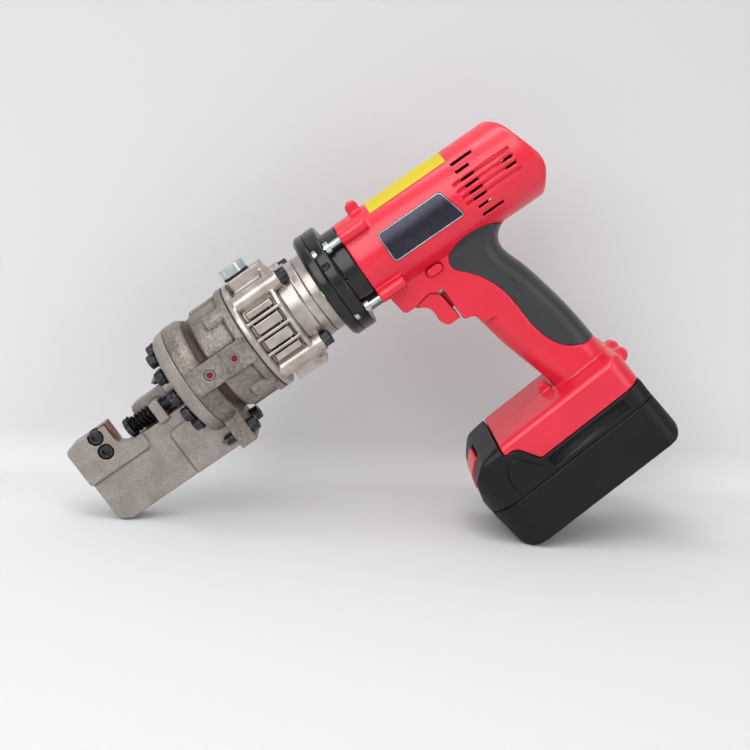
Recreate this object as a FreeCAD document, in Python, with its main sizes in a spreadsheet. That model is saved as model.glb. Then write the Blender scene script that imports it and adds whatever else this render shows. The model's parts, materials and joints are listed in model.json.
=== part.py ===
import FreeCAD, Part
import math
import os
import re
import Sketcher

from FreeCAD import Placement, Rotation, Vector

# Cordless hydraulic rebar cutter.
# Every sub-part is drawn in the tool frame: the origin lies on the ram axis, +X runs back towards
# the motor, +Z points away from the handle and the machine is symmetric about Y = 0.  At the end each
# one is given the rest placement, which leans the tool on its cutter head and its battery.

SIZES = {
    # cutter head
    "head_front": -164.6, "head_top": 10.0, "head_bottom": -54.7, "head_half": 12.6,
    "web_half": 11.4, "web_top": -9.7, "web_front": -163.2, "throat_x": -131.0,
    "throat_floor": -9.0, "joint_x": -61.5, "head_flange_x": -71.5, "head_flange_r": 38.5,
    "panel_x": -98.0, "panel_top": -19.8, "ear_half": 21.0,
    # blades, stroke and stopper
    "stroke": 18.0, "blade_face": -129.5, "moving_face": -112.8, "ram_r": 13.0,
    "stop_y": -7.4, "stop_z": -2.0, "stop_rod_r": 3.9, "stop_knob_r": 6.9,
    # cylinder
    "cyl_r": 37.6, "cyl_flange_r": 40.0, "bore_r": 22.0, "cyl_rear": -12.6, "rear_flange_r": 40.6,
    "flange_screw_r": 31.0,
    # pump housing and neck
    "pump_front": -11.8, "pump_rear": 20.5, "pump_r": 34.5, "neck_r": 29.0, "neck_seam": 37.9,
    "boss_y": 24.6, "boss_z": 25.7, "boss_r": 6.3, "ecc": 1.2,
    # gear case and reduction gear
    "collar_x": 45.4, "collar_seam": 53.5, "collar_rear": 62.8, "collar_r": 39.0,
    "case_r": 31.0, "module_mm": 1.0, "sun_teeth": 12, "planet_teeth": 18, "ring_teeth": 48,
    # red housing
    "shell_front": 74.5, "shell_r": 31.5, "wall": 2.4, "shell_rear": 213.5, "nose_half": 16.5,
    "stud_y": 26.6, "stud_z": 23.2,
    # motor
    "can_r": 26.5, "can_x": 96.0, "can_len": 54.0, "motor_shaft_r": 2.5,
    # handle, base and battery
    "base_half": 42.0, "base_tilt": 4.5, "trigger_half": 14.4,
    "trigger_travel": 6.0, "battery_half": 42.0, "battery_travel": 108.0, "release_travel": 1.6,
    # fasteners and running clearance
    "cap_r": 5.0, "cap_h": 6.0, "bolt_r": 3.0, "fit": 0.05,
}

doc = FreeCAD.newDocument("rebar_cutter")
sheet = doc.addObject("Spreadsheet::Sheet", "Sizes")
for row, (alias, value) in enumerate(SIZES.items(), start=1):
    sheet.set(f"A{row}", alias)
    sheet.set(f"B{row}", str(value))
    sheet.setAlias(f"B{row}", alias)
doc.recompute()

NODES = []
ALIAS = re.compile(r"\b(" + "|".join(SIZES) + r")\b")


def size(alias):
    """A driving size, read from the sheet."""
    return float(sheet.get(alias))


def formula(value):
    """A number or a formula in sheet names, as an expression that the document can bind."""
    return ALIAS.sub(r"Sizes.\1", str(value))


def bind(item, **links):
    for name, value in links.items():
        item.setExpression(name.replace("__", "."), formula(value))
    return item


def evaluate(value):
    """The present number of a formula, worked out by the sheet."""
    sheet.set("D1", f"={value}")
    sheet.recompute()
    return sheet.get("D1")


def place(item, x, y, z):
    return bind(item, Placement__Base__x=x, Placement__Base__y=y, Placement__Base__z=z)


# ---- solids in the tool frame ------------------------------------------------------------------


def box(name, x0, x1, y0, y1, z0, z1):
    item = doc.addObject("Part::Box", name)
    bind(item, Length=f"({x1}) - ({x0})", Width=f"({y1}) - ({y0})", Height=f"({z1}) - ({z0})")
    return place(item, x0, y0, z0)


def rod(name, axis, start, end, r, x=0, y=0, z=0):
    """A cylinder along one axis of the tool; x, y and z are the other two places of its centre."""
    item = doc.addObject("Part::Cylinder", name)
    turn = {"x": Rotation(Vector(0, 1, 0), 90), "y": Rotation(Vector(1, 0, 0), -90), "z": Rotation()}
    item.Placement = Placement(Vector(), turn[axis])
    bind(item, Radius=r, Height=f"({end}) - ({start})")
    spot = {"x": x, "y": y, "z": z}
    spot[axis] = start
    return place(item, spot["x"], spot["y"], spot["z"])


def hexagon(name, z0, z1, across, x=0, y=0):
    item = doc.addObject("Part::Prism", name)
    item.Polygon = 6
    bind(item, Circumradius=f"({across}) / 1.7320508", Height=f"({z1}) - ({z0})")
    return place(item, x, y, z0)


def join(name, *items):
    item = doc.addObject("Part::MultiFuse", name)
    item.Shapes = list(items)
    return item


def group(name, items):
    """Separate solids kept in one sub-part."""
    item = doc.addObject("Part::Compound", name)
    item.Links = list(items)
    return item


def cut(name, base, *tools):
    item = doc.addObject("Part::Cut", name)
    item.Base = base
    item.Tool = tools[0] if len(tools) == 1 else join(name + "_cuts", *tools)
    return item


def common(name, first, second):
    item = doc.addObject("Part::Common", name)
    item.Base = first
    item.Tool = second
    return item


def tube(name, start, end, outer, inner, axis="x", **spot):
    solid = rod(name + "_solid", axis, start, end, outer, **spot)
    bore = rod(name + "_bore", axis, f"({start}) - 1", f"({end}) + 1", inner, **spot)
    return cut(name, solid, bore)


def lathe(name, profile):
    """A body turned about the ram axis from its half section, a list of (x, radius)."""
    body = doc.addObject("PartDesign::Body", name)
    sketch = body.newObject("Sketcher::SketchObject", name + "_section")
    plane = [o for o in body.Origin.OriginFeatures if o.Role == "XY_Plane"][0]
    sketch.AttachmentSupport = [(plane, "")]
    sketch.MapMode = "FlatFace"
    spots = [(float(evaluate(x)), float(evaluate(r))) for x, r in profile]
    count = len(spots)
    for n in range(count):
        a, b = spots[n], spots[(n + 1) % count]
        sketch.addGeometry(Part.LineSegment(Vector(a[0], a[1], 0), Vector(b[0], b[1], 0)))
    for n in range(count):
        sketch.addConstraint(Sketcher.Constraint("Coincident", n, 2, (n + 1) % count, 1))
    for n, (x, r) in enumerate(profile):
        for kind, value, spot in (("DistanceX", x, spots[n][0]), ("DistanceY", r, spots[n][1])):
            index = sketch.addConstraint(Sketcher.Constraint(kind, n, 1, spot))
            sketch.setExpression(f"Constraints[{index}]", formula(value))
    turned = body.newObject("PartDesign::Revolution", name + "_turned")
    turned.Profile = sketch
    turned.ReferenceAxis = (sketch, ["H_Axis"])
    turned.Angle = 360
    return body


def corner_path(corners, closed=True):
    """Lines and tangent arcs through corners given as (x, z) or (x, z, radius)."""
    spots = [Vector(c[0], c[1], 0) for c in corners]
    radii = [c[2] if len(c) > 2 else 0 for c in corners]
    count = len(spots)
    ends, arcs = [], []
    for n in range(count):
        here, before, after = spots[n], spots[n - 1], spots[(n + 1) % count]
        if radii[n] == 0:
            ends.append((here, here))
            arcs.append(None)
            continue
        into = (before - here).normalize()
        out = (after - here).normalize()
        half = into.getAngle(out) / 2
        run = radii[n] / math.tan(half)
        centre = here + (into + out).normalize() * (radii[n] / math.sin(half))
        middle = centre + (here - centre).normalize() * radii[n]
        ends.append((here + into * run, here + out * run))
        arcs.append(Part.Arc(ends[-1][0], middle, ends[-1][1]))
    pieces = []
    for n in range(count):
        if arcs[n]:
            pieces.append(arcs[n])
        start, stop = ends[n][1], ends[(n + 1) % count][0]
        if start.distanceToPoint(stop) > 1e-6:
            pieces.append(Part.LineSegment(start, stop))
    return pieces


def numbers(corners):
    return [tuple(float(evaluate(v)) if isinstance(v, str) else v for v in c) for c in corners]


def slab(name, corners, half, plane_role="XZ_Plane"):
    """A plate with the outline drawn in one plane of the tool, equally thick on both sides of it."""
    body = doc.addObject("PartDesign::Body", name)
    sketch = body.newObject("Sketcher::SketchObject", name + "_outline")
    plane = [o for o in body.Origin.OriginFeatures if o.Role == plane_role][0]
    sketch.AttachmentSupport = [(plane, "")]
    sketch.MapMode = "FlatFace"
    for piece in corner_path(numbers(corners)):
        sketch.addGeometry(piece)
    pad = body.newObject("PartDesign::Pad", name + "_pad")
    pad.Profile = sketch
    pad.Midplane = True
    bind(pad, Length=f"2 * ({half})")
    return body


def coil(name, axis, start, end, mean_r, wire_r, turns, x=0, y=0, z=0):
    """A compression spring with its length between two faces."""
    item = doc.addObject("Part::Feature", name)
    first, last = float(evaluate(start)) + wire_r, float(evaluate(end)) - wire_r
    helix = Part.makeHelix((last - first) / turns, last - first, mean_r)
    ring = Part.Wire(Part.makeCircle(wire_r, Vector(mean_r, 0, 0), Vector(0, 1, 0)))
    wire = Part.Wire(helix).makePipeShell([ring], True, True)
    turn = {"x": Rotation(Vector(0, 1, 0), 90), "y": Rotation(Vector(1, 0, 0), -90), "z": Rotation()}
    spot = {"x": x, "y": y, "z": z}
    spot[axis] = first
    base = Vector(*[float(evaluate(spot[k])) for k in "xyz"])
    item.Shape = wire.transformed(Placement(base, turn[axis]).toMatrix(), True)
    return item


def keep(node, item):
    """Hand a finished sub-part its name."""
    item.Label = node
    NODES.append(item)
    return item


def cap_screw(name, axis, under_head, tip, x=0, y=0, z=0, scale=1):
    """A socket cap screw: its head stands on the face under_head and its shank runs to tip."""
    toward = f"(({tip}) - ({under_head})) / abs(({tip}) - ({under_head}))"
    away = -1 if float(evaluate(toward)) > 0 else 1
    spot = {"x": x, "y": y, "z": z}
    head_end = f"({under_head}) + {away} * cap_h * {scale}"
    low, high = (head_end, under_head) if away < 0 else (under_head, head_end)
    head = rod(name + "_head", axis, low, high, f"cap_r * {scale}", **spot)
    low, high = (under_head, tip) if away < 0 else (tip, under_head)
    shank = rod(name + "_shank", axis, low, high, f"bolt_r * {scale}", **spot)
    deep = f"({head_end}) - {away} * cap_h * {scale} * 0.55"
    low, high = (f"({head_end}) - 1", deep) if away < 0 else (deep, f"({head_end}) + 1")
    socket = rod(name + "_socket", axis, low, high, f"bolt_r * {scale} * 0.9", **spot)
    return cut(name, join(name + "_blank", head, shank), socket)


# ---- cutter head --------------------------------------------------------------------------------

RING_ANGLES = [0, 30, 60, 90, 117, 141]
RING_SIDES = sorted({side * angle for angle in RING_ANGLES for side in (-1, 1)})


def ring_spot(angle, radius="flange_screw_r"):
    """Place on the pitch circle; the angle runs from the top, positive towards -Y."""
    return {"y": f"-({radius}) * sin({angle} deg)", "z": f"({radius}) * cos({angle} deg)"}


def cutter_head():
    jaw = slab("jaw", [("head_front", "head_top", 4.5), ("throat_x", "head_top", 0.6),
                       ("throat_x", "throat_floor", 8), (-113.3, "throat_floor", 1.5),
                       (-113.3, -20.3, 3.5), ("head_front", -20.3, 1.5)], "head_half")
    web = slab("web", [("web_front", -15), ("web_front", "head_bottom", 11),
                       ("joint_x", "head_bottom"), ("joint_x", "web_top"),
                       (-115, "web_top"), (-115, -15)], "web_half")
    panel = slab("rear_panel", [("panel_x", "panel_top", 3.5), ("joint_x", "panel_top"),
                                ("joint_x", "head_bottom"), ("panel_x", "head_bottom")], "head_half")
    foot = slab("head_foot", [(-84, "web_half"), (-76, "ear_half"), ("joint_x", "ear_half"),
                              ("joint_x", "-ear_half"), (-76, "-ear_half"), (-84, "-web_half")],
                27, "XY_Plane")
    foot_zone = box("foot_zone", -90, "joint_x", -40, 40, "head_bottom", -30)
    foot = common("head_foot_cut", foot, foot_zone)
    flange = lathe("head_flange", [("head_flange_x", 0), ("head_flange_x", "head_flange_r - 1.8"),
                                   ("head_flange_x + 1.8", "head_flange_r"),
                                   ("joint_x - 0.01", "cyl_flange_r"), ("joint_x", "cyl_flange_r"),
                                   ("joint_x", 0)])
    finger = slab("guide_finger", [(-91, 10.4, 1), ("head_flange_x + 1", 10.4),
                                   ("head_flange_x + 1", 18.6), (-84, 18.6, 2), (-91, 14, 2)], 6)
    finger.Placement.Base = Vector(0, 7, 0)
    lug = slab("stopper_lug", [(-99, "web_top - 2"), (-91, "web_top - 2"), (-91, 4.2, 2.5),
                               (-99, 4.2, 2.5)], 5.7)
    lug.Placement.Base = Vector(0, -6.9, 0)
    blank = join("head_blank", jaw, web, panel, foot, flange, finger, lug)
    tools = [
        box("far_recess", -133, -112, 0.2, 20, "web_top - 0.1", 20),
        common("ram_slot", rod("ram_slot_round", "x", -100, "joint_x + 1", "ram_r + 0.4"),
               box("ram_slot_half", -101, "joint_x + 2", -0.2, 20, -20, 20)),
        rod("bush_bore", "x", "head_flange_x - 1", "joint_x + 1", 16),
        box("tail_pocket", -149.4, -135.9, -4, 0.4, -9.3, 30),
        box("blade_seat", -136.1, -130, -11.0, 0.4, -9.3, 30),
        rod("stop_thread", "x", -100, -90, "stop_rod_r + fit", y="stop_y", z="stop_z"),
    ]
    for n, z in enumerate((6.0, -5.9)):
        tools.append(rod(f"jaw_sink{n}", "y", "-head_half - 1", "-head_half + cap_h + 0.3", 5.5,
                         x=-141.2, z=z))
        tools.append(rod(f"jaw_hole{n}", "y", "-head_half - 1", -3, "bolt_r + 0.2", x=-141.2, z=z))
    for angle in RING_SIDES:
        tools.append(rod(f"head_hole{angle + 180}", "x", -100, "joint_x + 1", "bolt_r + fit",
                         **ring_spot(angle)))
        tools.append(rod(f"head_spot{angle + 180}", "x", -90, "head_flange_x", "cap_r + 1",
                         **ring_spot(angle)))
    for side in (-1, 1):
        tools.append(rod(f"ear_thread{side + 1}", "x", -72, "joint_x + 1", "bolt_r + fit",
                         y=15 * side, z=-47))
    return keep("cutter_head", cut("cutter_head", blank, *tools))


def blades():
    nose = box("blade_nose", -136, "blade_face", -10.9, 0.2, -0.5, "head_top + 0.4")
    low = slab("blade_low_corner", [(-136, -9.2), (-131.2, -9.2), (-131.2, -3), ("blade_face", -0.5),
                                    ("blade_face", 0.5), (-136, 0.5)], 5.55)
    low.Placement.Base = Vector(0, -5.35, 0)
    tail = box("blade_tail", -149.2, -136, -3.9, 0.2, -9.2, "head_top - 0.2")
    holes = [rod(f"blade_hole{n}", "y", -5, 1, "bolt_r + fit", x=-141.2, z=z)
             for n, z in enumerate((6.0, -5.9))]
    keep("fixed_blade", cut("fixed_blade", join("fixed_blade_blank", nose, low, tail), *holes))
    screws = [cap_screw(f"jaw_screw{n}", "y", "-head_half + cap_h + 0.3", 0, x=-141.2, z=z)
              for n, z in enumerate((6.0, -5.9))]
    keep("fixed_blade_screws", group("fixed_blade_screws", screws))
    block = slab("blade_block", [("moving_face", -9.3), (-86, -9.3), (-86, 9.3, 1),
                                 ("moving_face", 9.3, 4.5)], 5.85)
    block.Placement.Base = Vector(0, 6.25, 0)
    tongue_slot = box("tongue_slot", -100.2, -85, 3.4, 9.2, -5.2, 5.2)
    sinks = [rod(f"block_hole{n}", "y", 8, 13, "2.0 + fit", x=x, z=0) for n, x in enumerate((-96, -90))]
    sinks += [rod(f"block_sink{n}", "y", 10.6, 13, 3.7, x=x, z=0) for n, x in enumerate((-96, -90))]
    keep("moving_blade", cut("moving_blade", block, tongue_slot, *sinks))
    screws = [cap_screw(f"block_screw{n}", "y", 10.6, 5.2, x=x, scale=0.65)
              for n, x in enumerate((-96, -90))]
    trim = box("block_screw_trim", -110, -80, 12.1, 30, -10, 10)
    keep("moving_blade_screws", cut("moving_blade_screws", group("block_screws", screws), trim))


def stopper():
    knob = rod("stop_knob", "x", -120.6, -116.6, "stop_knob_r", y="stop_y", z="stop_z")
    shank = rod("stop_shank", "x", -117, -77, "stop_rod_r", y="stop_y", z="stop_z")
    keep("stopper_screw", join("stopper_screw", knob, shank))
    keep("stopper_spring", coil("stopper_spring", "x", -116.5, -99.1, 5.3, 0.9, 5,
                                y="stop_y", z="stop_z"))


def ram():
    piston = lathe("piston", [(-52, 0), (-52, "ram_r"), (-32, "ram_r"), (-32, "bore_r - 0.1"),
                              (-29.5, "bore_r - 0.1"), (-29.5, "bore_r - 3"), (-26.5, "bore_r - 3"),
                              (-26.5, "bore_r - 0.1"), (-24.6, "bore_r - 0.1"), (-24.6, 0)])
    nose = rod("ram_nose", "x", -80, -51, "ram_r")
    near_half = box("ram_near_half", -110, -52, -20, 0.3, -20, 20)
    front = box("ram_front", -86, -79, 0.3, 12.1, -9.2, 9.2)
    tongue = box("ram_tongue", -100, -80, 3.6, 9.0, -5, 5)
    holes = [rod(f"tongue_hole{n}", "y", 5, 10, "2.0", x=x) for n, x in enumerate((-96, -90))]
    whole = join("ram_blank", piston, nose, front, tongue)
    keep("piston_ram", cut("piston_ram", whole, near_half, *holes))
    keep("piston_seal", tube("piston_seal", -29.4, -26.6, "bore_r - 0.02", "bore_r - 3"))
    keep("ram_bush", tube("ram_bush", -69, "joint_x", 16, "ram_r + fit"))
    keep("ram_wiper", tube("ram_wiper", "head_flange_x", -69, 16, "ram_r + fit"))
    keep("return_spring", coil("return_spring", "x", "joint_x + 0.1", -32.1, 17.4, 1.4, 4))


def head_fasteners():
    items = []
    for angle in RING_SIDES:
        spot = ring_spot(angle)
        items.append(cap_screw(f"ring_screw{angle + 180}", "x", "head_flange_x - 1.6", -50, **spot))
        items.append(tube(f"ring_washer{angle + 180}", "head_flange_x - 1.6", "head_flange_x",
                          "cap_r + 0.6", "bolt_r", **spot))
    items += [cap_screw(f"ear_screw{side + 1}", "x", -49, -71, y=15 * side, z=-47) for side in (-1, 1)]
    keep("head_screws", group("head_screws", items))



# ---- cylinder and pump --------------------------------------------------------------------------


def corner_spots(y="boss_y", z="boss_z"):
    return [{"y": f"{sy} * {y}", "z": f"{sz} * {z}"} for sy in (-1, 1) for sz in (-1, 1)]


def cylinder():
    barrel = lathe("barrel", [("joint_x", 0), ("joint_x", "cyl_flange_r"), (-53, "cyl_flange_r"),
                              (-50, "cyl_flange_r - 1.6"), (-46, 35.4), (-43, 35.6), (-40.5, "cyl_r"),
                              (-19.6, "cyl_r"), (-18.2, "rear_flange_r"), ("cyl_rear", "rear_flange_r"),
                              ("cyl_rear", 0)])
    ear = box("cyl_ear", "joint_x", -49, "-ear_half", "ear_half", -56.4, -30)
    pads, plugs, sinks = [], [], []
    for side in (-1, 1):
        low, high = sorted((30 * side, 40.4 * side))
        pads.append(box(f"side_pad{side + 1}", -59, "cyl_rear - 2", low, high, -9.2, 9.2))
        low, high = sorted((30 * side, 41.0 * side))
        pads.append(box(f"plug_pad{side + 1}", -33, "cyl_rear - 2", low, high, -9.2, 9.2))
        for n, (x, r, face) in enumerate(((-46, 3.6, 40.4), (-26, 3.2, 41.0))):
            low, high = sorted((26 * side, 42 * side))
            sinks.append(rod(f"plug_hole{side + 1}{n}", "y", low, high, f"{r} + fit", x=x))
            low, high = sorted((27 * side, (face - 0.8) * side))
            plugs.append(rod(f"plug{side + 1}{n}", "y", low, high, r, x=x))
    bosses = [rod(f"thread_boss{n}", "x", -31, "cyl_rear - 2", 6.3, **spot)
              for n, spot in enumerate(corner_spots())]
    ribs = [box("cyl_top_rib", -40, "cyl_rear - 2", -4.5, 4.5, 30, 38.9),
            box("cyl_low_rib", -40, "cyl_rear - 2", -4.5, 4.5, -38.9, -30)]
    blank = join("cyl_blank", barrel, ear, *pads, *bosses, *ribs)
    tools = sinks + [rod("ram_bore", "x", "joint_x - 1", -24.5, "bore_r"),
                     rod("oil_port", "x", -26, "cyl_rear + 1", 4, y=0, z=12)]
    for angle in RING_SIDES:
        tools.append(rod(f"ring_thread{angle + 180}", "x", "joint_x - 1", -49.9, "bolt_r + fit",
                         **ring_spot(angle)))
    for n, spot in enumerate(corner_spots()):
        tools.append(rod(f"boss_thread{n}", "x", -28.1, "cyl_rear + 1", "bolt_r + fit", **spot))
    for side in (-1, 1):
        tools.append(rod(f"ear_hole{side + 1}", "x", "joint_x - 1", -48, "bolt_r + 0.3",
                         y=15 * side, z=-47))
    keep("cylinder_block", cut("cylinder_block", blank, *tools))
    keep("side_plugs", group("side_plugs", plugs))
    disc = tube("gasket_disc", "cyl_rear", "pump_front", "rear_flange_r - 0.8", 26)
    holes = [rod(f"gasket_hole{n}", "x", "cyl_rear - 1", "pump_front + 1", "bolt_r + 0.2", **spot)
             for n, spot in enumerate(corner_spots())]
    keep("pump_gasket", cut("pump_gasket", disc, *holes))


def pump_casting():
    shell = lathe("pump_shell", [("pump_front", 0), ("pump_front", "rear_flange_r"),
                                 (-8.4, "rear_flange_r"), (-7, "rear_flange_r - 1.4"), (-7, "pump_r"),
                                 (17, "pump_r"), (17, 37.8), ("pump_rear - 1", 37.8),
                                 ("pump_rear", 36.8), ("pump_rear", "neck_r + 1.4"),
                                 (31, "neck_r + 1.4"), (31.8, "neck_r"), ("neck_seam", "neck_r"),
                                 ("neck_seam", 0)])
    parts = [shell, box("top_lug", -5, 19.6, -12, 12, 30, 41.2),
             box("low_lug", -3, "pump_rear", -12, 12, -40.9, -30)]
    for n, spot in enumerate(corner_spots()):
        parts.append(rod(f"pump_boss{n}", "x", -8, 27, "boss_r", **spot))
    for side in (-1, 1):
        for n, (z, reach) in enumerate(((0, 38.4), (12, 36.9), (-12, 36.9))):
            low, high = sorted((28 * side, reach * side))
            parts.append(box(f"rib{side + 1}{n}", -8, 18, low, high, z - 1.1, z + 1.1))
        for n, (z0, z1, reach) in enumerate(((2.4, 9.6, 36.6), (-9.6, -2.4, 36.6),
                                              (14.4, 19.0, 33.8), (-19.0, -14.4, 33.8))):
            low, high = sorted((25 * side, reach * side))
            parts.append(box(f"pad{side + 1}{n}", -4.5, 15, low, high, z0, z1))
    tools = [rod("oil_room", "x", "pump_front - 1", 15, 26),
             rod("bearing_seat", "x", 14, 26, 13), rod("neck_bore", "x", 25, "neck_seam + 1", 20),
             rod("filler_thread", "z", 20, 43, 5.05, x=2)]
    for n, spot in enumerate(corner_spots()):
        tools.append(rod(f"boss_hole{n}", "x", "pump_front - 1", 28, "bolt_r + 0.2", **spot))
    keep("pump_housing", cut("pump_housing", join("pump_blank", *parts), *tools))
    screws = [cap_screw(f"pump_screw{n}", "x", 27, -28, **spot)
              for n, spot in enumerate(corner_spots())]
    keep("pump_screws", group("pump_screws", screws))
    keep("filler_washer", tube("filler_washer", 41.2, 43.0, 9.4, 5.1, axis="z", x=2))
    hexed = hexagon("filler_hex", 43.0, 49.4, 17, x=2)
    round_top = rod("filler_round", "z", 43.0, 49.4, 9.3, x=2)
    shank = rod("filler_shank", "z", 29, 43.1, 5, x=2)
    keep("filler_bolt", join("filler_bolt", common("filler_head", hexed, round_top), shank))


def pump_works():
    block = common("block_arch", box("block_box", "pump_front + 0.2", 12, -11, 11, 11, 25.5),
                   rod("block_round", "x", "pump_front", 13, 25.7))
    tools = [rod("plunger_bore", "z", 10, 27, "4 + fit", x=2),
             rod("block_filler_gap", "z", 22.4, 30, 7.5, x=2)]
    keep("pump_block", cut("pump_block", block, *tools))
    stem = rod("plunger_stem", "z", 10.6, 18.6, 4, x=2)
    foot = rod("plunger_foot", "z", 9.25, 10.7, 5.2, x=2)
    keep("pump_plunger", join("pump_plunger", stem, foot))
    keep("plunger_spring", coil("plunger_spring", "z", 18.8, 22.3, 2.9, 0.5, 3, x=2))
    shaft = [rod("ecc_journal", "x", -6, -2, 4), rod("ecc_round", "x", -2, 6, 5, z="ecc"),
             rod("ecc_shaft", "x", 6, 50, 5)]
    keep("eccentric_shaft", join("eccentric_shaft", *shaft))
    keep("eccentric_bearing", tube("eccentric_bearing", -2, 6, 8, "5 + fit", z="ecc"))
    rings = [tube("front_race", 16, 24, 13, 10.5), tube("front_inner", 16, 24, 7.4, "5 + fit"),
             tube("rear_race", 30, 36, 20, 11.5), tube("rear_inner", 30, 36, 7.6, "5 + fit")]
    balls = []
    for n in range(8):
        for tag, x, pitch in (("a", 20, 8.95), ("b", 33, 9.55)):
            ball = doc.addObject("Part::Sphere", f"ball{tag}{n}")
            bind(ball, Radius=1.5 if tag == "a" else 1.9)
            place(ball, x, f"{pitch} * sin({45 * n} deg)", f"{pitch} * cos({45 * n} deg)")
            balls.append(ball)
    keep("shaft_bearings", group("shaft_bearings", rings + balls))
    bag = lathe("bladder_turned", [("pump_front + 1", 17), ("pump_front + 1", 24.6), (-7, 25.6),
                                (-3, 25.6), (-3, 24.4), (-7.5, 23.6), (-8, 18.2), (-3, 17.2),
                                (-3, 16)])
    gap = box("bag_gap", -20, 20, -14, 14, 8, 30)
    keep("oil_bladder", cut("oil_bladder", bag, gap))


# ---- gear case, reduction gear and motor ---------------------------------------------------------


def gear_case():
    screw_spots = [{"y": y, "z": z} for y, z in ((0, 32.6), (0, -32.6), (32.6, 0), (-32.6, 0))]
    neck = lathe("neck_ring", [("neck_seam", "20"), ("neck_seam", "neck_r"), ("collar_x", "neck_r"),
                               ("collar_x", 23.6), (51, 23.6), (51, 20)])
    keep("neck_ring", neck)
    front = lathe("collar_front", [("collar_x", "neck_r + 0.4 - 5"), ("collar_x", "collar_r - 2"),
                                   ("collar_x + 2", "collar_r"), ("collar_seam - 0.6", "collar_r"),
                                   ("collar_seam", "collar_r - 0.6"), ("collar_seam", "neck_r - 4.6")])
    pockets = [rod(f"front_pocket{n}", "x", "collar_x - 1", "collar_x + 3", 4.1, **spot)
               for n, spot in enumerate(screw_spots)]
    holes = [rod(f"front_hole{n}", "x", "collar_x - 1", "collar_seam + 1", 2.05, **spot)
             for n, spot in enumerate(screw_spots)]
    keep("collar_ring", cut("collar_ring", front, *pockets, *holes))
    case = lathe("case_turned", [("collar_seam", 26), ("collar_seam", "collar_r - 0.6"),
                                 ("collar_seam + 0.6", "collar_r"), ("collar_rear - 1.2", "collar_r"),
                                 ("collar_rear", "collar_r - 1.2"), ("collar_rear", "case_r"),
                                 ("shell_front - 0.3", "case_r"), ("shell_front - 0.3", "case_r - 2.2"),
                                 ("shell_front + 16", "case_r - 2.2"), ("shell_front + 16", 8),
                                 ("shell_front + 13", 8), ("shell_front + 13", 26)])
    tools = [rod(f"case_thread{n}", "x", "collar_seam - 1", "collar_rear + 1", 2.05, **spot)
             for n, spot in enumerate(screw_spots)]
    for n, spot in enumerate(corner_spots("stud_y", "stud_z")):
        tools.append(rod(f"stud_sink{n}", "x", "collar_seam - 1", "collar_seam + 3.2", 4.4, **spot))
        tools.append(rod(f"stud_hole{n}", "x", "collar_seam - 1", "collar_rear + 1", 2.7, **spot))
    tools += [box(f"case_notch{side + 1}", "collar_seam - 1", "collar_rear - 3",
                  *sorted((35 * side, 40 * side)), 13, 19) for side in (-1, 1)]
    keep("gear_case", cut("gear_case", case, *tools))
    studs = []
    for n, spot in enumerate(corner_spots("stud_y", "stud_z")):
        studs.append(join(f"stud{n}", rod(f"stud_rod{n}", "x", "collar_seam + 0.5", "shell_front + 16", 2.4, **spot),
                          rod(f"stud_cap{n}", "x", "collar_seam + 0.2", "collar_seam + 3", 4.2, **spot)))
        studs.append(tube(f"stud_washer{n}", "collar_rear + 0.2", "collar_rear + 3.6", 4.3, 2.45, **spot))
    keep("case_studs", group("case_studs", studs))
    screws = [cap_screw(f"collar_screw{n}", "x", "collar_x + 3", "collar_rear - 1", scale=0.66, **spot)
              for n, spot in enumerate(screw_spots)]
    keep("collar_screws", group("collar_screws", screws))


def toothed(name, teeth, x0, x1, bore, outward=True, rim=0, turn=0):
    """A spur gear along the ram axis: a disc or ring with one straight-flanked tooth repeated."""
    m = size("module_mm")
    pitch = m * teeth / 2
    side = 1 if outward else -1
    root, tip = pitch - side * 1.25 * m, pitch + side * 0.7 * m
    item = doc.addObject("Part::Feature", name)
    depth = x1 - x0
    if outward:
        blank = Part.makeCylinder(root, depth)
        if bore:
            blank = blank.cut(Part.makeCylinder(bore, depth))
    else:
        blank = Part.makeCylinder(rim, depth).cut(Part.makeCylinder(root, depth))
    half_root, half_tip = 1.08 * m, 0.36 * m
    inner = root - side * 0.4 * m
    profile = [Vector(inner, -half_root, 0), Vector(tip, -half_tip, 0),
               Vector(tip, half_tip, 0), Vector(inner, half_root, 0)]
    tooth = Part.Face(Part.makePolygon(profile + profile[:1])).extrude(Vector(0, 0, depth))
    solids = []
    for n in range(teeth):
        copy = tooth.copy()
        copy.rotate(Vector(), Vector(0, 0, 1), turn + 360 * n / teeth)
        solids.append(copy)
    shape = blank.multiFuse(solids).removeSplitter()
    item.Shape = shape.transformed(Placement(Vector(x0, 0, 0), Rotation(Vector(0, 1, 0), 90)).toMatrix(),
                                   True)
    return item


def reduction():
    m, sun, planet, ring = (size(k) for k in ("module_mm", "sun_teeth", "planet_teeth", "ring_teeth"))
    keep("ring_gear", toothed("ring_gear", int(ring), 66, 84, 0, outward=False, rim=25.95))
    keep("motor_pinion", toothed("motor_pinion", int(sun), 68, 88.5, size("motor_shaft_r") + 0.01))
    orbit = m * (sun + planet) / 2
    pins = []
    for n in range(3):
        angle = 120 * n
        spot = {"y": f"{orbit} * sin({angle} deg)", "z": f"-{orbit} * cos({angle} deg)"}
        gear = toothed(f"planet_gear_{n + 1}", int(planet), 68, 82, 3.05, turn=180 / planet + angle)
        gear.Placement.Base = Vector(0, orbit * math.sin(math.radians(angle)),
                                     -orbit * math.cos(math.radians(angle)))
        keep(f"planet_gear_{n + 1}", gear)
        pins.append(rod(f"planet_pin{n}", "x", 62, 82, 3, **spot))
    plate = rod("carrier_plate", "x", 60, 66.5, 19.5)
    hub = rod("carrier_hub", "x", 40, 61, 7.8)
    socket = rod("carrier_socket", "x", 39, 50.1, "5 + fit")
    keep("planet_carrier", cut("planet_carrier", join("carrier_blank", plate, hub, *pins), socket))


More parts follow.
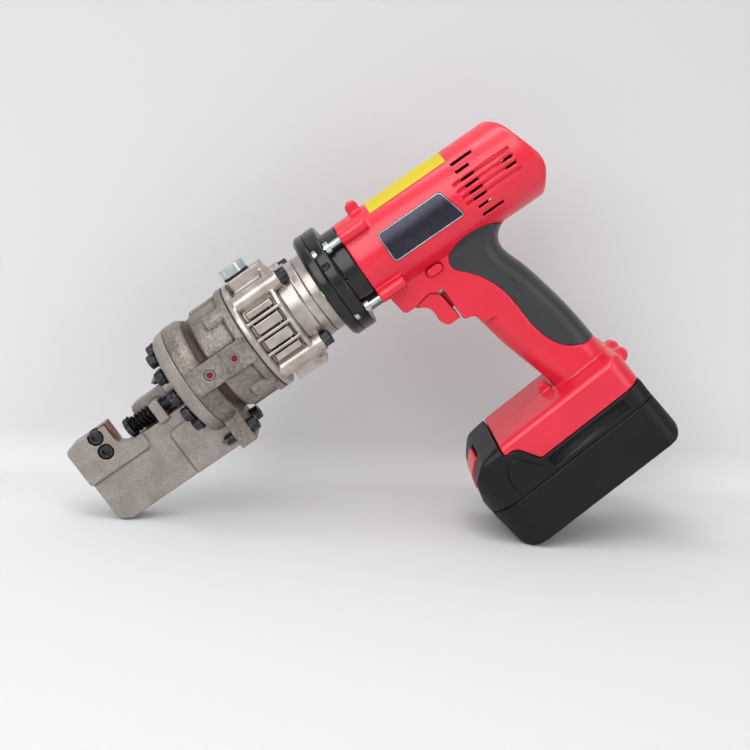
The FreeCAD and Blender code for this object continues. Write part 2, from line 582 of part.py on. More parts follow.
def motor():
    can_end = "can_x + can_len"
    can = tube("can_tube", "can_x", can_end, "can_r", "can_r - 1.6")
    front = tube("can_front", "can_x", "can_x + 2", "can_r - 1", 6.6)
    magnets = tube("magnets", "can_x + 8", "can_x + can_len - 6", "can_r - 1.62", "can_r - 5.5")
    gaps = [box(f"magnet_gap{n}", "can_x + 7", "can_x + can_len - 5", *spot)
            for n, spot in enumerate(((-40, 40, -3, 3),))]
    keep("motor_can", group("motor_can", [join("can_shell", can, front), cut("magnet_pair", magnets, *gaps)]))
    bell = lathe("bell_turned", [(f"{can_end} + 0.1", "can_r"), (f"{can_end} + 8", "can_r - 2"),
                                            (f"{can_end} + 8", 5.6), (f"{can_end} + 5.5", 5.6),
                                            (f"{can_end} + 5.5", "can_r - 5"), (f"{can_end} + 0.1", "can_r - 5")])
    shaft = rod("rotor_shaft", "x", 72, "can_x + can_len + 32", "motor_shaft_r")
    core = rod("rotor_core", "x", "can_x + 10", "can_x + can_len - 10", "can_r - 6.2")
    slots = [rod(f"rotor_slot{n}", "x", "can_x + 9", "can_x + can_len - 9", 1.6,
                 y=f"(can_r - 7.2) * sin({n * 30} deg)", z=f"(can_r - 7.2) * cos({n * 30} deg)")
             for n in range(12)]
    front_coil = rod("front_windings", "x", "can_x + 4.5", "can_x + 10", "can_r - 9")
    rear_coil = rod("rear_windings", "x", "can_x + can_len - 10", "can_x + can_len - 5", "can_r - 9")
    segments = rod("commutator", "x", "can_x + can_len - 5", "can_x + can_len + 4", 8)
    keep("rotor", join("rotor", shaft, cut("slotted_core", core, *slots), front_coil, rear_coil, segments))
    brushes = [box(f"brush{side + 1}", "can_x + can_len - 2", "can_x + can_len + 3.5",
                   *sorted((8.1 * side, 16 * side)), -3, 3) for side in (-1, 1)]
    keep("brush_holder", group("brush_holder", [bell] + brushes))
    seats = [tube("front_bush", "can_x - 4", "can_x + 2", 6.5, "motor_shaft_r + fit"),
             tube("rear_bush", f"{can_end} + 4", f"{can_end} + 8", 5.5, "motor_shaft_r + fit"),
             tube("tail_bush", f"{can_end} + 27", f"{can_end} + 32", 8, "motor_shaft_r + fit")]
    keep("motor_bearings", group("motor_bearings", seats))
    hub = tube("fan_hub", f"{can_end} + 11", f"{can_end} + 21", 6, "motor_shaft_r + 0.005")
    disc = tube("fan_disc", f"{can_end} + 11", f"{can_end} + 12.5", 23, 5)
    blades_of_fan = []
    for n in range(12):
        blade = box(f"fan_blade{n}", f"{can_end} + 12", f"{can_end} + 20", -0.7, 0.7, 5.5, 22.5)
        turn = doc.addObject("Part::Compound", f"fan_turn{n}")
        turn.Links = [blade]
        turn.Placement = Placement(Vector(), Rotation(Vector(1, 0, 0), 30 * n))
        blades_of_fan.append(turn)
    keep("motor_fan", join("motor_fan", hub, disc, *blades_of_fan))



# ---- red housing, handle and base ---------------------------------------------------------------


def prism(corners, half):
    """A plain solid from an outline in the XZ plane, equally thick on both sides of it."""
    return plate(Part.Wire([p.toShape() for p in corner_path(numbers(corners))]), half)


def plate(wire, half):
    face = Part.Face(wire)
    face.rotate(Vector(), Vector(1, 0, 0), 90)
    face.translate(Vector(0, half, 0))
    return face.extrude(Vector(0, -2 * half, 0))


def block(x0, x1, y0, y1, z0, z1):
    return Part.makeBox(x1 - x0, y1 - y0, z1 - z0, Vector(x0, y0, z0))


def bar(axis, start, end, r, x=0, y=0, z=0):
    turn = {"x": Vector(1, 0, 0), "y": Vector(0, 1, 0), "z": Vector(0, 0, 1)}[axis]
    base = {"x": x, "y": y, "z": z}
    base[axis] = start
    return Part.makeCylinder(r, end - start, Vector(base["x"], base["y"], base["z"]), turn)


def oval_section(z, front, back, half):
    """A rounded section of the handle, flatter on its sides than at its front and back."""
    r = min(half * 0.82, (back - front) / 2 - 0.5)
    corners = [(front, -half, r), (back, -half, r), (back, half, r), (front, half, r)]
    wire = Part.Wire([p.toShape() for p in corner_path(corners)])
    wire.translate(Vector(0, 0, z))
    return wire


# height, front and back of the handle and its half width, from the barrel down to the base
HANDLE = [(-22, 122, 178, 15.5), (-30.5, 119, 172.5, 16.2), (-36, 117.5, 164.0, 16.4),
          (-44, 116.5, 161.0, 16.6), (-52, 116, 162.6, 16.6), (-61, 116.5, 166.0, 16.4),
          (-72, 119.3, 169.2, 16.2), (-86, 122.3, 172.5, 16.0), (-100, 125.2, 175.4, 16.0),
          (-114, 129.0, 177.7, 16.4), (-127, 133.0, 179.2, 17.2), (-138, 136.2, 180.6, 18.8),
          (-147, 138.2, 184.5, 21.0)]
NOSE = [(79.3, -8), (79.5, -32), (81.4, -44, 3), (112, -44), (112, -69.8, 2.5), (119, -71, 5),
        (124, -80), (150, -80), (150, -8)]
TRIGGER_CUT = [(84, -80), (84, -44.5), (89, -44.5, 6), (103.5, -41.0, 6), (108.8, -46, 4),
               (111.6, -67.5), (111.6, -80)]


def barrel_solid(t, front):
    r = size("shell_r") - t
    turned = bar("x", front, size("shell_rear") + 5, r)
    cap = prism([(front - 1, 45), (front - 1, -45), (201, -45), ("shell_rear - 13 + 1.5", -34, 10),
                 ("shell_rear + 1", -10, 22), ("shell_rear - 12.5", 33.5, 15), (184, 32.5, 30),
                 (150, 45)], 40)
    if t:
        cap = prism([(front - 1, 45), (front - 1, -45), (198, -45), ("shell_rear - 16", -30, 8),
                     ("shell_rear - 2.5", -9.5, 19), ("shell_rear - 16", 28, 12), (180, 45)], 40)
    return turned.common(cap)


def upper_solid(t, front):
    half = size("nose_half") - t
    nose = prism(NOSE, half)
    if t:
        nose = prism([(81.8, -8), (82, -31), (83.5, -41.5), (110, -41.5), (114.5, -50), (114.5, -67.4),
                      (121, -70), (126, -80), (150, -80), (150, -8)], half)
    spread = [oval_section(z, a + t, b - t, w - t) for z, a, b, w in HANDLE]
    handle = Part.makeLoft(spread, True, False)
    return barrel_solid(t, front).fuse([nose, handle])


def tilted(shape):
    """Moves a shape drawn in the base's own frame, which leans against the ram axis."""
    turn = Rotation(Vector(0, 1, 0), -size("base_tilt"))
    return shape.transformed(Placement(Vector(130, 0, -150), turn).toMatrix(), True)


def plan_prism(front, back, half, radius, low, high, front_radius=None):
    """An upright solid with a rounded oblong plan; its front corners may be rounder than its rear ones."""
    nose = front_radius or radius
    corners = [(front, -half, nose), (back, -half, radius), (back, half, radius), (front, half, nose)]
    wire = Part.Wire([p.toShape() for p in corner_path(corners)])
    wire.translate(Vector(0, 0, low))
    return Part.Face(wire).extrude(Vector(0, 0, high - low))


# side outline of the base skirt in the base's own frame
SKIRT = [(-47, 3.5, 3), (-47, -4.1, 0.5), (-38.5, -4.1, 7), (-28.6, -20.5, 3), (55, -20.5), (55, 3.5, 6)]


def cross_prism(half, top, radius, low, front, back):
    """A bar along X with rounded upper edges."""
    corners = [(-half, low), (half, low), (half, top, radius), (-half, top, radius)]
    wire = Part.Wire([p.toShape() for p in corner_path(corners)])
    face = Part.Face(wire)
    face.rotate(Vector(), Vector(1, 0, 0), 90)
    face.rotate(Vector(), Vector(0, 0, 1), 90)
    face.translate(Vector(front, 0, 0))
    return face.extrude(Vector(back - front, 0, 0))


def base_solid():
    half = size("base_half")
    outer = prism(SKIRT, half).common(plan_prism(-90, 55, half, 13, -40, 20))
    return tilted(outer.common(cross_prism(half, 3.5, 5.5, -40, -90, 90)))


def base_room():
    w = size("wall")
    half = size("base_half") - w
    room = prism([(-60, 3.5 - w), (-60, -30), (55 - w, -30), (55 - w, 3.5 - w)], half)
    return tilted(room.common(plan_prism(-90, 55 - w, half, 10.6, -40, 20)))


GRIP_EDGE = [(172.5, -31.9), (164, -26.6), (155.5, -23.5), (147, -22.4), (138, -23.4), (130.5, -26.4),
             (125.6, -30.8), (125.0, -35.6), (129.5, -42), (137, -51), (142.8, -62), (146.3, -75),
             (147.5, -90), (149.0, -103), (153.0, -115), (160, -124.5), (169, -129.6), (184, -130.6)]


def grip_region():
    curve = Part.BSplineCurve()
    curve.interpolate([Vector(x, z, 0) for x, z in GRIP_EDGE])
    first, last = Vector(*GRIP_EDGE[0], 0), Vector(*GRIP_EDGE[-1], 0)
    far = [Vector(195, last.y, 0), Vector(195, first.y, 0)]
    sides = [Part.LineSegment(last, far[0]), Part.LineSegment(*far), Part.LineSegment(far[1], first)]
    return plate(Part.Wire([curve.toShape()] + [s.toShape() for s in sides]), 40)


def vent(x0, x1, z, side, depth=8):
    low, high = sorted((34 * side, (34 - depth - abs(z) * 0.25) * side))
    return block(x0, x1, low, high, z - 0.8, z + 0.8)


VENTS = [(161, 177, 21.5), (161, 171, 16.0), (161, 171, 10.2), (161, 171, 5.2), (161, 171, 0.2),
         (161, 171, -4.8), (161, 171, -10.8), (161, 177, -17.0), (189, 197, 5.2), (189, 197, 0.2)]
# place of each clamshell screw and how far from the middle its head lies
SCREW_SPOTS = [((92, 34.6), 6.4), ((87, -37), 15.0), ((183.5, -26.6), 14.0), ((140, -72), 14.6),
               ((131.5, -143.8), 5.8), ((171, -150), 40.0)]


def feature(name, shape):
    item = doc.addObject("Part::Feature", name)
    item.Shape = shape
    return item


def housing():
    wall, front = size("wall"), size("shell_front")
    upper = upper_solid(0, front)
    base = base_solid()
    rubber = grip_region().common(upper.cut(upper_solid(2.0, front - 5)))
    tubes = [bar("x", front, front + 20, 4.6, y=sy * size("stud_y"), z=sz * size("stud_z"))
             for sy in (-1, 1) for sz in (-1, 1)]
    lugs = [bar("y", -6.5, 6.5, 4.6, x=92, z=34.4), bar("y", -6, 6, 4.2, x=131.5, z=-143.6)]
    lugs += [bar("y", *sorted((8.5 * side, 17 * side)), 5, x=187, z=-151.3) for side in (-1, 1)]
    outer = upper.fuse([base] + tubes + lugs)
    room = barrel_solid(wall, front - 1)
    inner = upper_solid(4.2, front + 6).cut(block(60, 220, -40, 40, -27, 40))
    inner = inner.common(block(60, 220, -40, 40, -142.5, 0))
    passage = tilted(plan_prism(14, 44, 10, 5, -10, 12)).common(block(60, 220, -40, 40, -160, -140))
    shell = outer.cut([room, inner, base_room(), passage, rubber, prism(TRIGGER_CUT, 30)])
    holders = [bar("x", x, x + 2.5, size("shell_r") - 2.1).cut(bar("x", x - 1, x + 4, size("can_r") + 0.05))
               for x in (size("can_x") + 4, size("can_x") + 42)]
    tail_seat = bar("x", 178.5, 181.8, 30.8).cut(bar("x", 177, 183, 8.05))
    tail_seat = tail_seat.cut([block(170, 190, -40, 40, 12, 40), block(170, 190, -40, 40, -40, -12)])
    posts = [bar("y", -13, 13, 3.6, x=140, z=-72), bar("y", -40.5, 40.5, 4.2, x=171, z=-150)]
    shell = shell.fuse(holders + [tail_seat.common(barrel_solid(0.5, front))] + posts)
    tools = [vent(*spot, side) for spot in VENTS for side in (-1, 1)]
    tools += [prism([(108.6, -26.9, 3), (120.4, -26.9, 3), (120.4, -33.1, 3), (108.6, -33.1, 3)], 30)]
    tools += [bar("x", front - 1, front + 17, 2.55, y=sy * size("stud_y"), z=sz * size("stud_z"))
              for sy in (-1, 1) for sz in (-1, 1)]
    tools.append(prism([(100, -40.4), (118.9, -40.4), (118.9, -68.3), (100, -68.3)],
                       size("trigger_half") + 0.5))
    for (x, z), deep in SCREW_SPOTS:
        tools.append(bar("y", -0.5 * deep - 0.4, 60, 1.55, x=x, z=z))
        tools.append(bar("y", deep - 1.6, 60 if deep > 10 else deep + 1.5, 3.4, x=x, z=z))
    shell = shell.cut(tools)
    halves = {"housing_left": block(60, 230, -60, 0, -190, 60),
              "housing_right": block(60, 230, 0, 60, -190, 60)}
    for name, half in halves.items():
        keep(name, feature(name, shell.common(half)))
    keep("grip_left", feature("grip_left", rubber.common(block(60, 230, -60, 0, -190, 60))))
    keep("grip_right", feature("grip_right", rubber.common(block(60, 230, 0, 60, -190, 60))))



def housing_trim():
    screws = []
    for n, ((x, z), deep) in enumerate(SCREW_SPOTS):
        head = rod(f"shell_screw_head{n}", "y", deep - 1.6, deep, 3.2, x=x, z=z)
        shank = rod(f"shell_screw_shank{n}", "y", -0.5 * deep, deep - 1.5, 1.5, x=x, z=z)
        screws.append(join(f"shell_screw{n}", head, shank))
    keep("housing_screws", group("housing_screws", screws))
    bar_of_button = slab("button_bar", [(108.9, -27.2, 2.8), (120.1, -27.2, 2.8), (120.1, -32.8, 2.8),
                                        (108.9, -32.8, 2.8)], 19.3)
    keep("lock_button", bar_of_button)
    plate_solid = prism([(96, 12.6, 2.5), (145.4, 12.6, 2.5), (151.6, -9.6, 2.5), (96, -9.6, 2.5)], 40)
    skin = bar("x", 90, 155, 31.85).cut(bar("x", 89, 156, 31.5)).common(plate_solid)
    keep("rating_plate", feature("rating_plate", skin.common(block(60, 230, -60, 0, -60, 60))))
    skin = bar("x", 100.2, 160, 31.75).cut(bar("x", 99, 161, 31.5))
    wrap = skin.common(block(60, 230, -60, 60, 25.5, 60))
    keep("caution_label", feature("caution_label", wrap.cut(bar("z", 20, 40, 5.2, x=92, y=0))))


def trigger_set():
    blade = slab("trigger_blade", [(89.4, -44.9), (103.4, -41.4, 5.6), (108.4, -46.2, 4),
                                   (111.2, -67.2), (101.5, -67.6, 3.5), (97.6, -61, 10), (98.4, -55, 8),
                                   (97, -49.5, 8)], "trigger_half")
    tail = box("trigger_tail", 104, 114, -6, 6, -60, -48)
    room = box("trigger_room", 100, 113, -4.5, 4.5, -58.5, -49.5)
    keep("trigger", join("trigger", cut("trigger_hollow", blade, room), cut("trigger_back", tail, room)))
    body = box("switch_body", 123.6, 144, -9, 9, -62, -42)
    stem = rod("switch_stem", "x", 122.2, 124, 2.4, z=-54)
    keep("trigger_switch", join("trigger_switch", body, stem))
    keep("trigger_spring", coil("trigger_spring", "x", 114.1, 122.1, 3.2, 0.45, 4, z=-54))
    keep("terminal_block", feature("terminal_block", tilted(block(-14, 34, -14, 14, -8.4, -1.0))))


SHOULDER = [(-79.3, -34.8), (-79.9, -26, 6), (-74.5, -9.0, 14), (-63.5, 1.2, 12), (-47.5, 3.5),
            (-47.5, -4.6, 0.5), (-38.3, -4.6, 7), (-28.9, -21.0, 3), (55.2, -21.0), (55.2, -34.8)]
CAN = [(-79.3, -35.0), (-75.6, -69.6, 12), (57, -69.6, 9), (55.4, -35.0)]


def battery():
    half, w = size("battery_half"), 2.2
    plan = plan_prism(-80.5, 57.5, half, 14, -90, 20, 24)
    inner_plan = plan_prism(-77, 53, half - w, 12, -40, 20, 22)
    upper = prism(SHOULDER, half).common(plan).common(cross_prism(half, 3.5, 7, -60, -90, 90))
    rail = block(-46, 46, -18, 18, -22.5, -12.0).fuse(block(-20, 30, -10, 10, -12.2, -8.7))
    upper = upper.fuse(rail)
    hollow = inner_plan.common(block(-90, 60, -50, 50, -36, -23.2))
    tower = block(-75, -49.5, -half + 5, half - 5, -36, -10).common(
        prism([(-76, -36), (-76, -22), (-70, -10.5), (-49, -10.5), (-49, -36)], 45))
    button_room = block(-84, -62.8, -15.1, 15.1, -19.1, 2)
    upper = upper.cut([hollow, tower.common(inner_plan), button_room])
    corners = [(sx, sy) for sx in (-66, 47) for sy in (-33.5, 33.5)]
    upper = upper.fuse([bar("z", -34.8, -22.5, 3.4, x=sx, y=sy) for sx, sy in corners])
    upper = upper.cut([bar("z", -36, -25.5, 1.55, x=sx, y=sy) for sx, sy in corners])
    keep("battery_upper", feature("battery_upper", tilted(upper)))
    lower = prism(CAN, half).common(plan_prism(-81, 57.2, half, 14, -90, 20, 24))
    lower = lower.cut(plan_prism(-73, 52, half - w - 0.4, 11, -67.2, -30, 20))
    posts = [bar("z", -67.5, -35, 3.4, x=sx, y=sy) for sx, sy in corners]
    lower = lower.fuse(posts).cut([bar("z", -75, -34, 1.7, x=sx, y=sy) for sx, sy in corners])
    keep("battery_lower", feature("battery_lower", tilted(lower)))
    cells = [bar("y", -29.5, 29.5, 10.8, x=-58 + 23 * n, z=-55.5) for n in range(5)]
    cells += [bar("y", -29.5, 29.5, 10.8, x=-46.5 + 23 * n, z=-35.4) for n in range(4)]
    keep("battery_cells", feature("battery_cells", tilted(Part.makeCompound(cells))))
    cap = prism([(-78.7, -18.6, 1.2), (-75.4, -8.6, 12), (-66.8, -0.3, 1.5), (-64.8, -2.2),
                 (-64.8, -18.6)], 14.6)
    keep("release_button", feature("release_button", tilted(cap)))
    screws = [bar("z", -67.0, -26, 1.5, x=sx, y=sy).fuse(bar("z", -69.4, -66.9, 1.65, x=sx, y=sy))
              for sx, sy in corners]
    keep("battery_screws", feature("battery_screws", tilted(Part.makeCompound(screws))))


cutter_head()
blades()
stopper()
ram()
head_fasteners()
cylinder()
pump_casting()
pump_works()
gear_case()
reduction()
motor()
housing()
housing_trim()
trigger_set()
battery()
doc.recompute()


# ---- rest pose ----------------------------------------------------------------------------------


def corner_circle_angle():
    """Lean that puts the head's lower front corner and the battery's lower front corner on one floor."""
    head = Vector(size("web_front") + 11, 0, size("head_bottom") + 11)
    turn = Rotation(Vector(0, 1, 0), -size("base_tilt"))
    foot = Vector(130, 0, -150) + turn.multVec(Vector(-75.4 + 12, 0, -69.6 + 12))
    run, drop = foot.x - head.x, head.z - foot.z
    reach = math.hypot(run, drop)
    return math.degrees(math.atan2(drop, run) + math.asin((12 - 11) / reach))


def leaning_limits(turn):
    """Ends of the leaning machine along X and its lowest point."""
    ends = []
    for item in NODES:
        shape = item.Shape.transformed(Placement(Vector(), turn).toMatrix(), True)
        ends.append(shape.optimalBoundingBox(True, False))
    return min(e.XMin for e in ends), max(e.XMax for e in ends), min(e.ZMin for e in ends)


LEAN = Rotation(Vector(0, 1, 0), -corner_circle_angle())
left, right, low = leaning_limits(LEAN)
REST = Placement(Vector(-(left + right) / 2, 0, -low), LEAN)

for item in NODES:
    item.Placement = REST.multiply(item.Placement)
doc.recompute()

os.makedirs("parts", exist_ok=True)
for item in NODES:
    if "Invalid" in item.State or item.Shape.isNull() or not item.Shape.isValid():
        raise RuntimeError(f"{item.Label} has no sound shape")
    item.Shape.exportStep(f"parts/{item.Label}.step")
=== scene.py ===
# %% [markdown]
# # A cordless hydraulic rebar cutter
# The machine is a cast steel cutter head on a hydraulic cylinder, a ribbed pump housing, a black gear
# case and a red moulded housing with a rubber grip and a slide-on battery.  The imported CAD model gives
# every place and size.  This script gives each part its real surface, rounds the moulded and cast parts
# and adds the small details that a CAD model leaves out.

# %% Load the frame
import json
import math

import bmesh
import bpy
from mathutils import Matrix, Vector


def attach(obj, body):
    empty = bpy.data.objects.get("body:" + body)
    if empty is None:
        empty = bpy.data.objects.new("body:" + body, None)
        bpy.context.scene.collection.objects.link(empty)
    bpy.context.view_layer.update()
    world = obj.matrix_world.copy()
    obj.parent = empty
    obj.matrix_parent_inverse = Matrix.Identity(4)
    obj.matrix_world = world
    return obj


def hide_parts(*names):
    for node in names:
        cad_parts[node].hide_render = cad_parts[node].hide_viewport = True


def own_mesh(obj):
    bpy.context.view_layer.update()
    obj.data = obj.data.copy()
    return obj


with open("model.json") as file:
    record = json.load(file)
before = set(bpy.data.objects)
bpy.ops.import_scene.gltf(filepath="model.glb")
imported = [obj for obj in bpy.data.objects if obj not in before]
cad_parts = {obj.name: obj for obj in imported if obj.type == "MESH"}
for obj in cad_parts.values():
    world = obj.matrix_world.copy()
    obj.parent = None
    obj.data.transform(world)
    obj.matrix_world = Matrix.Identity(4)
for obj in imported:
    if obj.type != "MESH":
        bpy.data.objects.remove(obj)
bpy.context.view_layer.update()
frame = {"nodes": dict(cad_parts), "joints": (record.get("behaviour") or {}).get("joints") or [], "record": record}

node_body = {node: name for name, nodes in frame["record"]["behaviour"]["bodies"].items() for node in nodes}
node_slot = {part["node"]: part["material_slot"] for part in frame["record"]["subparts"]}

# %% [markdown]
# The machine leans on its head and its battery, so nothing on it is level.  It is easiest to describe a
# detail along the ram axis, as a drawing of the machine would.  The rotor's joint lies on that axis,
# 120 mm behind the drawing's origin, so its place and direction give the matrix that carries a point
# in millimetres of the drawing to metres in the frame.

# %% The drawing's frame
joints = {joint["name"]: joint for joint in frame["joints"]}
ram_axis = Vector(joints["rotor_spin"]["axis"]).normalized()
origin = Vector(joints["rotor_spin"]["pos_m"]) - 0.120 * ram_axis
lean = math.atan2(ram_axis.z, ram_axis.x)
drawing = Matrix.Translation(origin) @ Matrix.Rotation(-lean, 4, "Y") @ Matrix.Scale(0.001, 4)
base_drawing = drawing @ Matrix.Translation((130, 0, -150)) @ Matrix.Rotation(math.radians(-4.5), 4, "Y")
print("the ram axis climbs", round(math.degrees(lean), 1), "degrees")

# %% [markdown]
# A material is a tree of nodes.  One function adds a node, sets its properties and fills its sockets,
# either with a value or with a link from another node; a colour ramp also gets its stops.  Colours are
# written as the hex values that a colour picker shows, and one function turns them into the linear
# numbers that the shader works in.

# %% Two helpers for every material


def linear(hex_colour):
    """The linear colour of an sRGB hex value such as "E0142A"."""
    channels = [int(hex_colour[i:i + 2], 16) / 255 for i in (0, 2, 4)]
    return tuple(c / 12.92 if c <= 0.04045 else ((c + 0.055) / 1.055) ** 2.4 for c in channels) + (1.0,)


def add(tree, kind, sockets=None, stops=(), **settings):
    """Adds one node; a socket takes a plain value or another node's output, stops are (place, hex)."""
    made = tree.nodes.new(kind)
    for name, value in settings.items():
        setattr(made, name, value)
    for name, value in (sockets or {}).items():
        if isinstance(value, bpy.types.NodeSocket):
            tree.links.new(value, made.inputs[name])
        else:
            made.inputs[name].default_value = value
    if stops:
        elements = made.color_ramp.elements
        while len(elements) < len(stops):
            elements.new(0.5)
        for element, (position, colour) in zip(elements, stops):
            element.position = position
            element.color = linear(colour)
    return made


print("mid grey 808080 is", round(linear("808080")[0], 3), "in linear light")

# %% [markdown]
# Every finish starts from the same few nodes: a Principled shader, and the place of the point in
# millimetres along the ram axis.  A Mapping node of type Texture undoes the drawing's own turn and
# place, so that grinding lines follow the machine and a grain of 1 mm is written as 1.

# %% A new finish


def start_finish(name, **surface):
    """A new material with its shader set, and the drawing's coordinates in millimetres."""
    made = bpy.data.materials.new(name)
    made.use_nodes = True
    tree = made.node_tree
    tree.nodes.clear()
    shader = add(tree, "ShaderNodeBsdfPrincipled",
                 {key.replace("_", " "): value for key, value in surface.items()})
    add(tree, "ShaderNodeOutputMaterial", {"Surface": shader.outputs["BSDF"]})
    place = add(tree, "ShaderNodeTexCoord").outputs["Object"]
    mapping = add(tree, "ShaderNodeMapping", {"Vector": place, "Location": tuple(origin),
                                              "Rotation": (0, -lean, 0), "Scale": (0.001,) * 3},
                  vector_type="TEXTURE")
    return made, tree, shader, mapping.outputs["Vector"]


print("a finish works in millimetres from", [round(value, 4) for value in origin])

# %% [markdown]
# Three small groups of nodes come back in many finishes.  One turns a pattern into relief.  One finds a
# zone of the machine from its limits along the drawing's axes.  One paints shade into pockets and inside
# corners: it looks how much open sky a point sees, and how the surface bends.

# %% Relief, zones and painted shade in corners


def relief(tree, shader, height, depth_mm, strength=1.0, edge_mm=0.0):
    """Turns a height pattern into bumps of depth_mm; edge_mm rounds the sharp edges of a CAD solid."""
    bump = add(tree, "ShaderNodeBump", {"Height": height, "Distance": depth_mm / 1000, "Strength": strength})
    if edge_mm:
        edge = add(tree, "ShaderNodeBevel", {"Radius": edge_mm / 1000}, samples=4)
        tree.links.new(edge.outputs["Normal"], bump.inputs["Normal"])
    tree.links.new(bump.outputs["Normal"], shader.inputs["Normal"])


def within(tree, *limits):
    """Limits are (value, start, end): 0 where a value is before its start, 1 where all are past their ends."""
    share = 1.0
    for value, start, end in limits:
        step = add(tree, "ShaderNodeMapRange", {"Value": value, "From Min": start, "From Max": end})
        share = add(tree, "ShaderNodeMath", {0: share, 1: step.outputs["Result"]},
                    operation="MULTIPLY").outputs[0]
    return share


def shade_in_corners(tree, unshaded, shade_colour, reach_mm, start, end, crease=0.493):
    """Mixes in a painted shade colour in pockets, and as a line along every inside corner."""
    open_sky = add(tree, "ShaderNodeAmbientOcclusion", {"Distance": reach_mm / 1000}, samples=6).outputs["AO"]
    bend = add(tree, "ShaderNodeNewGeometry").outputs["Pointiness"]
    share = within(tree, (open_sky, start, end), (bend, crease - 0.045, crease))
    return add(tree, "ShaderNodeMix", {"Factor": share, 6: shade_colour, 7: unshaded}, data_type="RGBA").outputs[2]


print("relief, zones and corners ready")

# %% [markdown]
# The cutter head is a steel casting, shot-blasted and given one thin coat of silver lacquer.  The
# blasting leaves dents of about 0.8 mm that catch the light as fine grain, and handling leaves cloudy
# darker patches.  The real dents are near the limit of what can be seen at this distance, so they
# are drawn a little deeper than life.  The inner wall of the mouth is bare and rusty.

# %% Shot-blasted cast steel


def shot_blasted_cast_steel():
    made, tree, shader, mm = start_finish("shot_blasted_cast_steel", Metallic=0.55)
    cloud = add(tree, "ShaderNodeTexNoise", {"Vector": mm, "Scale": 1 / 14, "Detail": 3}).outputs["Fac"]
    fine = add(tree, "ShaderNodeTexNoise", {"Vector": mm, "Scale": 1 / 0.8, "Detail": 2,
                                            "Roughness": 0.6}).outputs["Fac"]
    flakes = add(tree, "ShaderNodeTexNoise", {"Vector": mm, "Scale": 1 / 2.6, "Detail": 4,
                                              "Roughness": 0.65}).outputs["Fac"]
    base = add(tree, "ShaderNodeValToRGB", {"Fac": cloud},
               [(0.3, "979089"), (0.55, "A69F99"), (0.8, "B4ADA7")]).outputs["Color"]
    speck = add(tree, "ShaderNodeValToRGB", {"Fac": fine},
                [(0.36, "AAA19B"), (0.58, "FFFFFF")]).outputs["Color"]
    rust = add(tree, "ShaderNodeValToRGB", {"Fac": flakes},
               [(0.35, "4E2A20"), (0.6, "84503E")]).outputs["Color"]
    unshaded = add(tree, "ShaderNodeMix", {"Factor": 0.5, 6: base, 7: speck}, data_type="RGBA",
                blend_type="MULTIPLY").outputs[2]
    # Painted shade: dark brown in pockets and along inside corners, such as under the steps of the head.
    lined = shade_in_corners(tree, unshaded, linear("33211D"), 2.4, 0.6, 0.97)
    place = add(tree, "ShaderNodeSeparateXYZ", {"Vector": mm}).outputs
    mouth_wall = within(tree, (place["X"], -133.8, -133.2), (place["X"], -126.5, -127.0),
                        (place["Y"], -12.3, -11.6), (place["Z"], -6.0, -2.0))
    colour = add(tree, "ShaderNodeMix", {"Factor": mouth_wall, 6: lined, 7: rust}, data_type="RGBA").outputs[2]
    gloss = add(tree, "ShaderNodeMapRange", {"Value": fine, "To Min": 0.3, "To Max": 0.55}).outputs["Result"]
    tree.links.new(colour, shader.inputs["Base Color"])
    tree.links.new(gloss, shader.inputs["Roughness"])
    relief(tree, shader, fine, 0.3, 0.9)
    return made


# %% [markdown]
# The cylinder is sand-cast and keeps the sand's rough skin: pits and lumps of 2 to 3 mm under the same
# silver lacquer, with painted shade in the low places and a dark brown band of painted shade in the waist
# between its flange and its barrel.

# %% Sand-cast iron


def sand_cast_iron():
    made, tree, shader, mm = start_finish("sand_cast_iron", Metallic=0.6)
    lumps = add(tree, "ShaderNodeTexNoise", {"Vector": mm, "Scale": 1 / 2.2, "Detail": 4,
                                             "Roughness": 0.55}).outputs["Fac"]
    cloud = add(tree, "ShaderNodeTexNoise", {"Vector": mm, "Scale": 1 / 16, "Detail": 2}).outputs["Fac"]
    base = add(tree, "ShaderNodeValToRGB", {"Fac": lumps},
               [(0.32, "7E766F"), (0.5, "928A83"), (0.7, "A39B94")]).outputs["Color"]
    tint = add(tree, "ShaderNodeValToRGB", {"Fac": cloud},
               [(0.35, "D2CBC5"), (0.65, "FFFFFF")]).outputs["Color"]
    unshaded = add(tree, "ShaderNodeMix", {"Factor": 0.8, 6: base, 7: tint}, data_type="RGBA",
                blend_type="MULTIPLY").outputs[2]
    # Painted shade: dark brown in the low places and along inside corners.
    lined = shade_in_corners(tree, unshaded, linear("3C2C26"), 3.0, 0.52, 0.92)
    place = add(tree, "ShaderNodeSeparateXYZ", {"Vector": mm}).outputs
    across = add(tree, "ShaderNodeCombineXYZ", {"X": place["Y"], "Y": place["Z"]}).outputs["Vector"]
    radius = add(tree, "ShaderNodeVectorMath", {0: across}, operation="LENGTH").outputs["Value"]
    # Painted shade: a dark brown band in the waist stands in for the shade of a deeper recess.
    waist = within(tree, (place["X"], -51.5, -48.0), (place["X"], -39.5, -42.5), (radius, 37.6, 36.6))
    colour = add(tree, "ShaderNodeMix", {"Factor": waist, 6: lined, 7: linear("46362E")},
                 data_type="RGBA").outputs[2]
    gloss = add(tree, "ShaderNodeMapRange", {"Value": lumps, "To Min": 0.3, "To Max": 0.46}).outputs["Result"]
    tree.links.new(colour, shader.inputs["Base Color"])
    tree.links.new(gloss, shader.inputs["Roughness"])
    relief(tree, shader, lumps, 0.9, 0.9)
    return made
